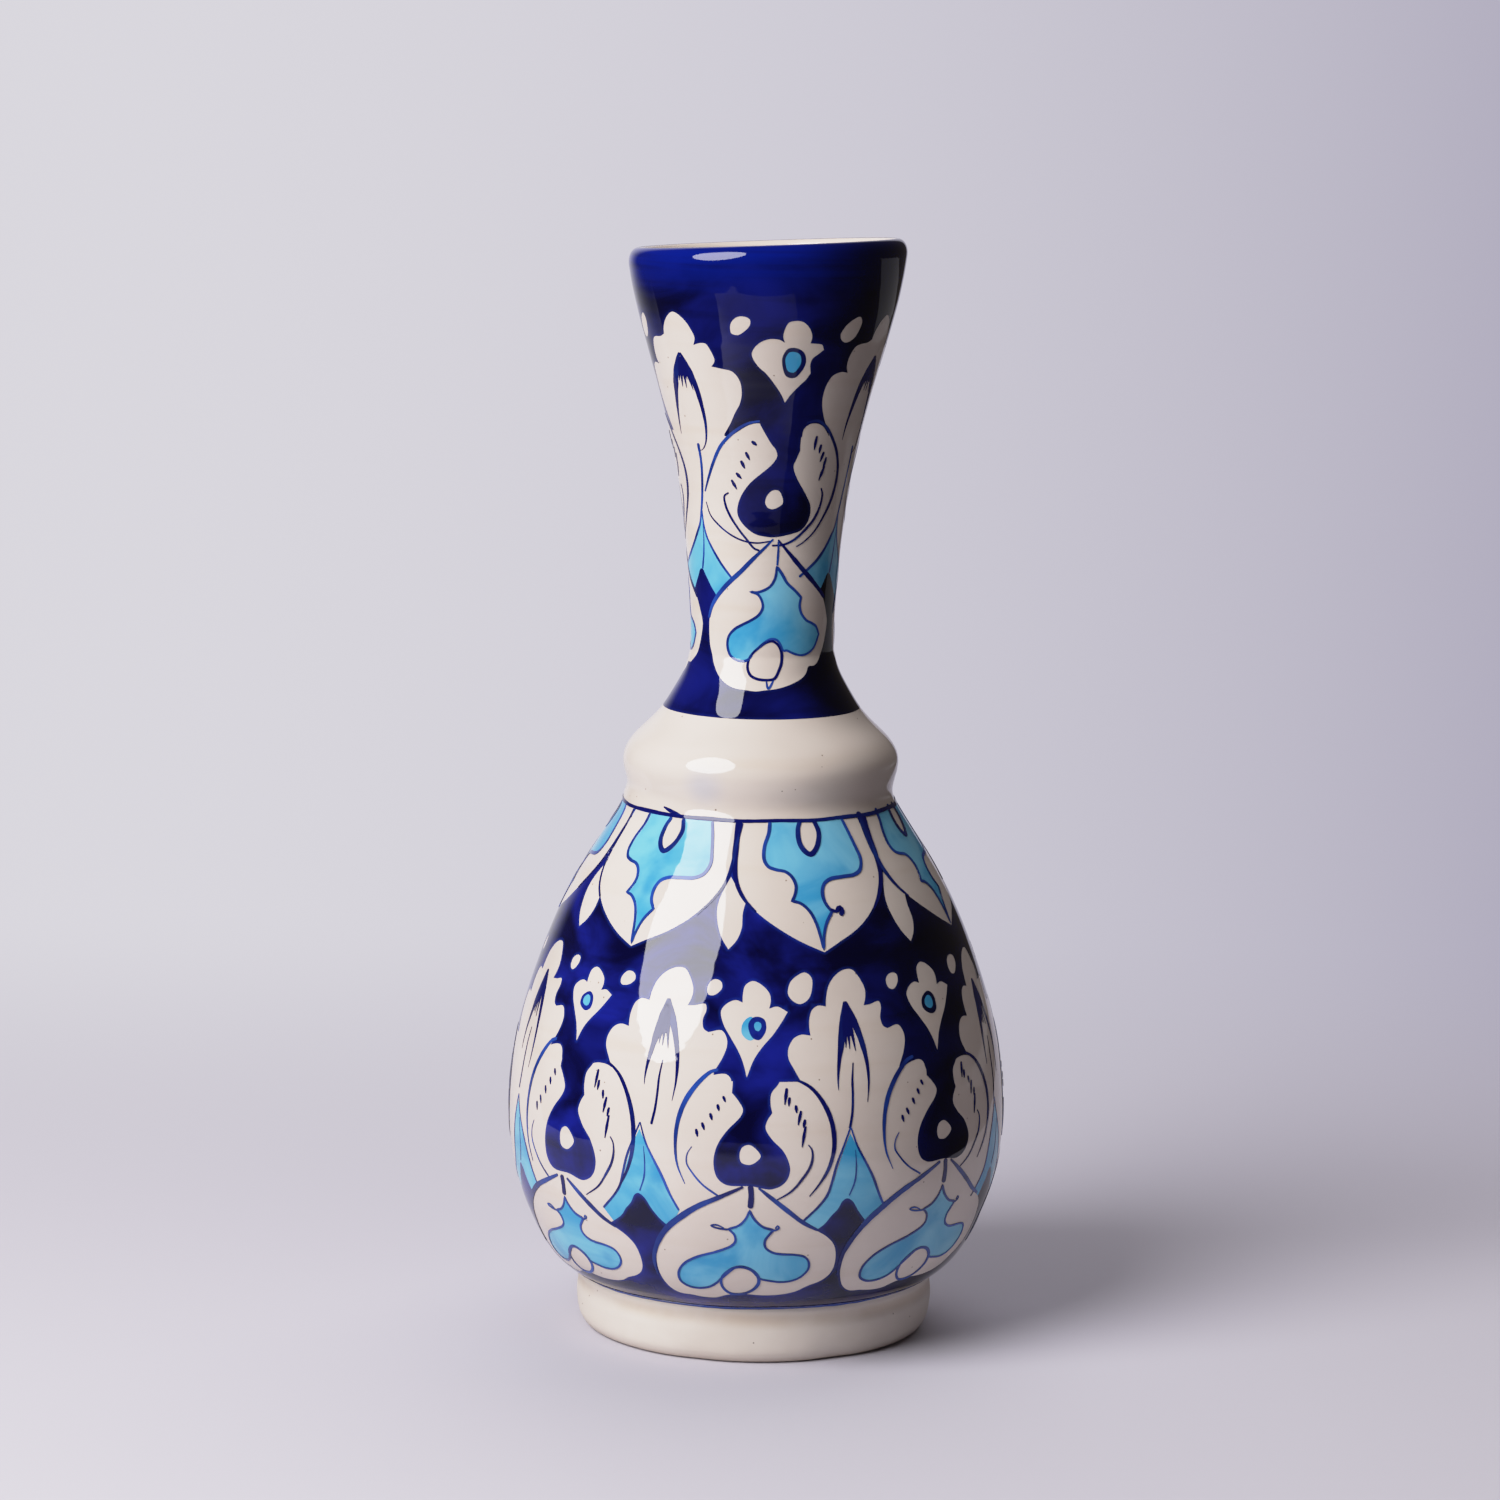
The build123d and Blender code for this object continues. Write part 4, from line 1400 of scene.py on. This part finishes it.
def make_stage():
    """A paper sweep: flat under the vase, then curving up far behind it, and wider there."""
    back, bend, top = 1.75, 0.5, 2.2
    points = [(x, y, 0) for y, *sides in PAPER_EDGES for x in sides]
    for angle in np.linspace(0, math.pi / 2, 13):
        y = back - bend + bend * math.sin(angle)
        z = bend - bend * math.cos(angle)
        points += [(-1.5, y, z), (0.31 + 0.12 * y, y, z)]
    points += [(-1.5, back, top), (0.52, back, top)]
    faces = [[i, i + 1, i + 3, i + 2] for i in range(0, len(points) - 2, 2)]
    sweep = new_object("sweep", points, faces)
    sweep.data.materials.append(paper())


def area_light(name, shape, size, power, colour, location, aim):
    data = bpy.data.lights.new(name, "AREA")
    data.shape = shape
    data.size, data.size_y = size
    data.energy = power
    data.color = colour
    light = bpy.data.objects.new(name, data)
    light.location = location
    light.rotation_euler = (light.location - Vector(aim)).to_track_quat("Z", "Y").to_euler()
    bpy.context.scene.collection.objects.link(light)
    return light


def make_lights():
    """One oval softbox left of the camera, the ceiling's light, and a pale surface at the right."""
    area_light("softbox", "ELLIPSE", (0.85, 1.04), 23.0, (1.0, 0.985, 0.99),
               (-0.738, -0.683, 0.804), (0, 0, 0.13))
    ceiling = area_light("ceiling", "SQUARE", (1.8, 1.8), 16.0, (1.0, 0.97, 1.0),
                         (0.4, 1.0, 1.7), (0.1, 0.1, 0))
    ceiling.visible_glossy = False
    table = area_light("table_beside", "RECTANGLE", (0.85, 1.1), 0.5, (0.95, 0.93, 1.0),
                       (1.12, 1.0, -0.01), (1.12, 1.0, 1))
    table.visible_camera = False
    world = bpy.data.worlds.new("dim_room")
    world.use_nodes = True
    tree = world.node_tree
    room = tree.nodes["Background"]
    room.inputs["Color"].default_value = (1.0, 0.84, 0.77, 1)
    room.inputs["Strength"].default_value = 0.05
    seen = tree.nodes.new("ShaderNodeBackground")
    seen.inputs["Color"].default_value = colour((196, 193, 205))
    path = tree.nodes.new("ShaderNodeLightPath")
    blend_shaders(tree, path.outputs["Is Camera Ray"], room, seen)
    bpy.context.scene.world = world


def make_camera():
    data = bpy.data.cameras.new("camera")
    data.lens = 125.16
    data.sensor_width = 36.0
    camera = bpy.data.objects.new("camera", data)
    camera.location = (-0.00297, -1.4160, 0.3845)
    looks_down = 8.98
    leans = 0.716
    pitch = Euler((math.radians(90 - looks_down), 0, 0)).to_matrix()
    roll = Matrix.Rotation(math.radians(leans), 3, "Z")
    camera.rotation_euler = (pitch @ roll).to_euler()
    bpy.context.scene.collection.objects.link(camera)
    bpy.context.scene.camera = camera


# The tone curve: light in, light out
HIGHLIGHTS = [(0.3, 0.3), (0.6, 0.597), (0.75, 0.71), (0.9, 0.785), (1.1, 0.85), (1.5, 0.92), (2.2, 0.97)]


def soft_highlights():
    """Highlights roll off gently, as they do on film, instead of turning flat white."""
    settings = bpy.context.scene.view_settings
    settings.view_transform = "Standard"
    settings.use_curve_mapping = True
    mapping = settings.curve_mapping
    mapping.clip_max_x = 4.0
    curve = mapping.curves[3]
    curve.points[1].location = (4.0, 1.0)
    for light_in, light_out in HIGHLIGHTS:
        curve.points.new(light_in, light_out)
    mapping.update()


# ==== the vase ====
def make_clay():
    glazed = [make_lower_body(), make_section("upper_body", "waist_slip_joint", "shoulder_slip_joint"),
              make_section("collar", "shoulder_slip_joint", "neck_slip_joint"), make_neck()]
    glazed += [make_slip_joint(name) for name in SEAMS]
    for finish, pieces in ((cream_glaze(), glazed), (foot_clay(), [make_foot_slip(), make_foot_ring()])):
        for piece in pieces:
            piece.data.materials.append(finish)


def make_paint():
    finishes = {"cobalt": cobalt(), "turquoise": turquoise()}
    line_finish = line_paint()
    body = Drawing("body", BODY_PAINT, BODY_DEGREE)
    body_fills(body)
    body_lines(body)
    neck = Drawing("neck", NECK_PAINT, NECK_DEGREE)
    neck_fills(neck)
    neck_lines(neck)
    for drawing in (body, neck):
        cut = overlay(drawing)
        for paint, finish in finishes.items():
            paint_layer(f"{drawing.zone}_{paint}", cut, paint).data.materials.append(finish)
        brush_lines(f"{drawing.zone}_brush_lines", drawing).data.materials.append(line_finish)


soft_highlights()
make_camera()
make_stage()
make_lights()
make_clay()
make_paint()
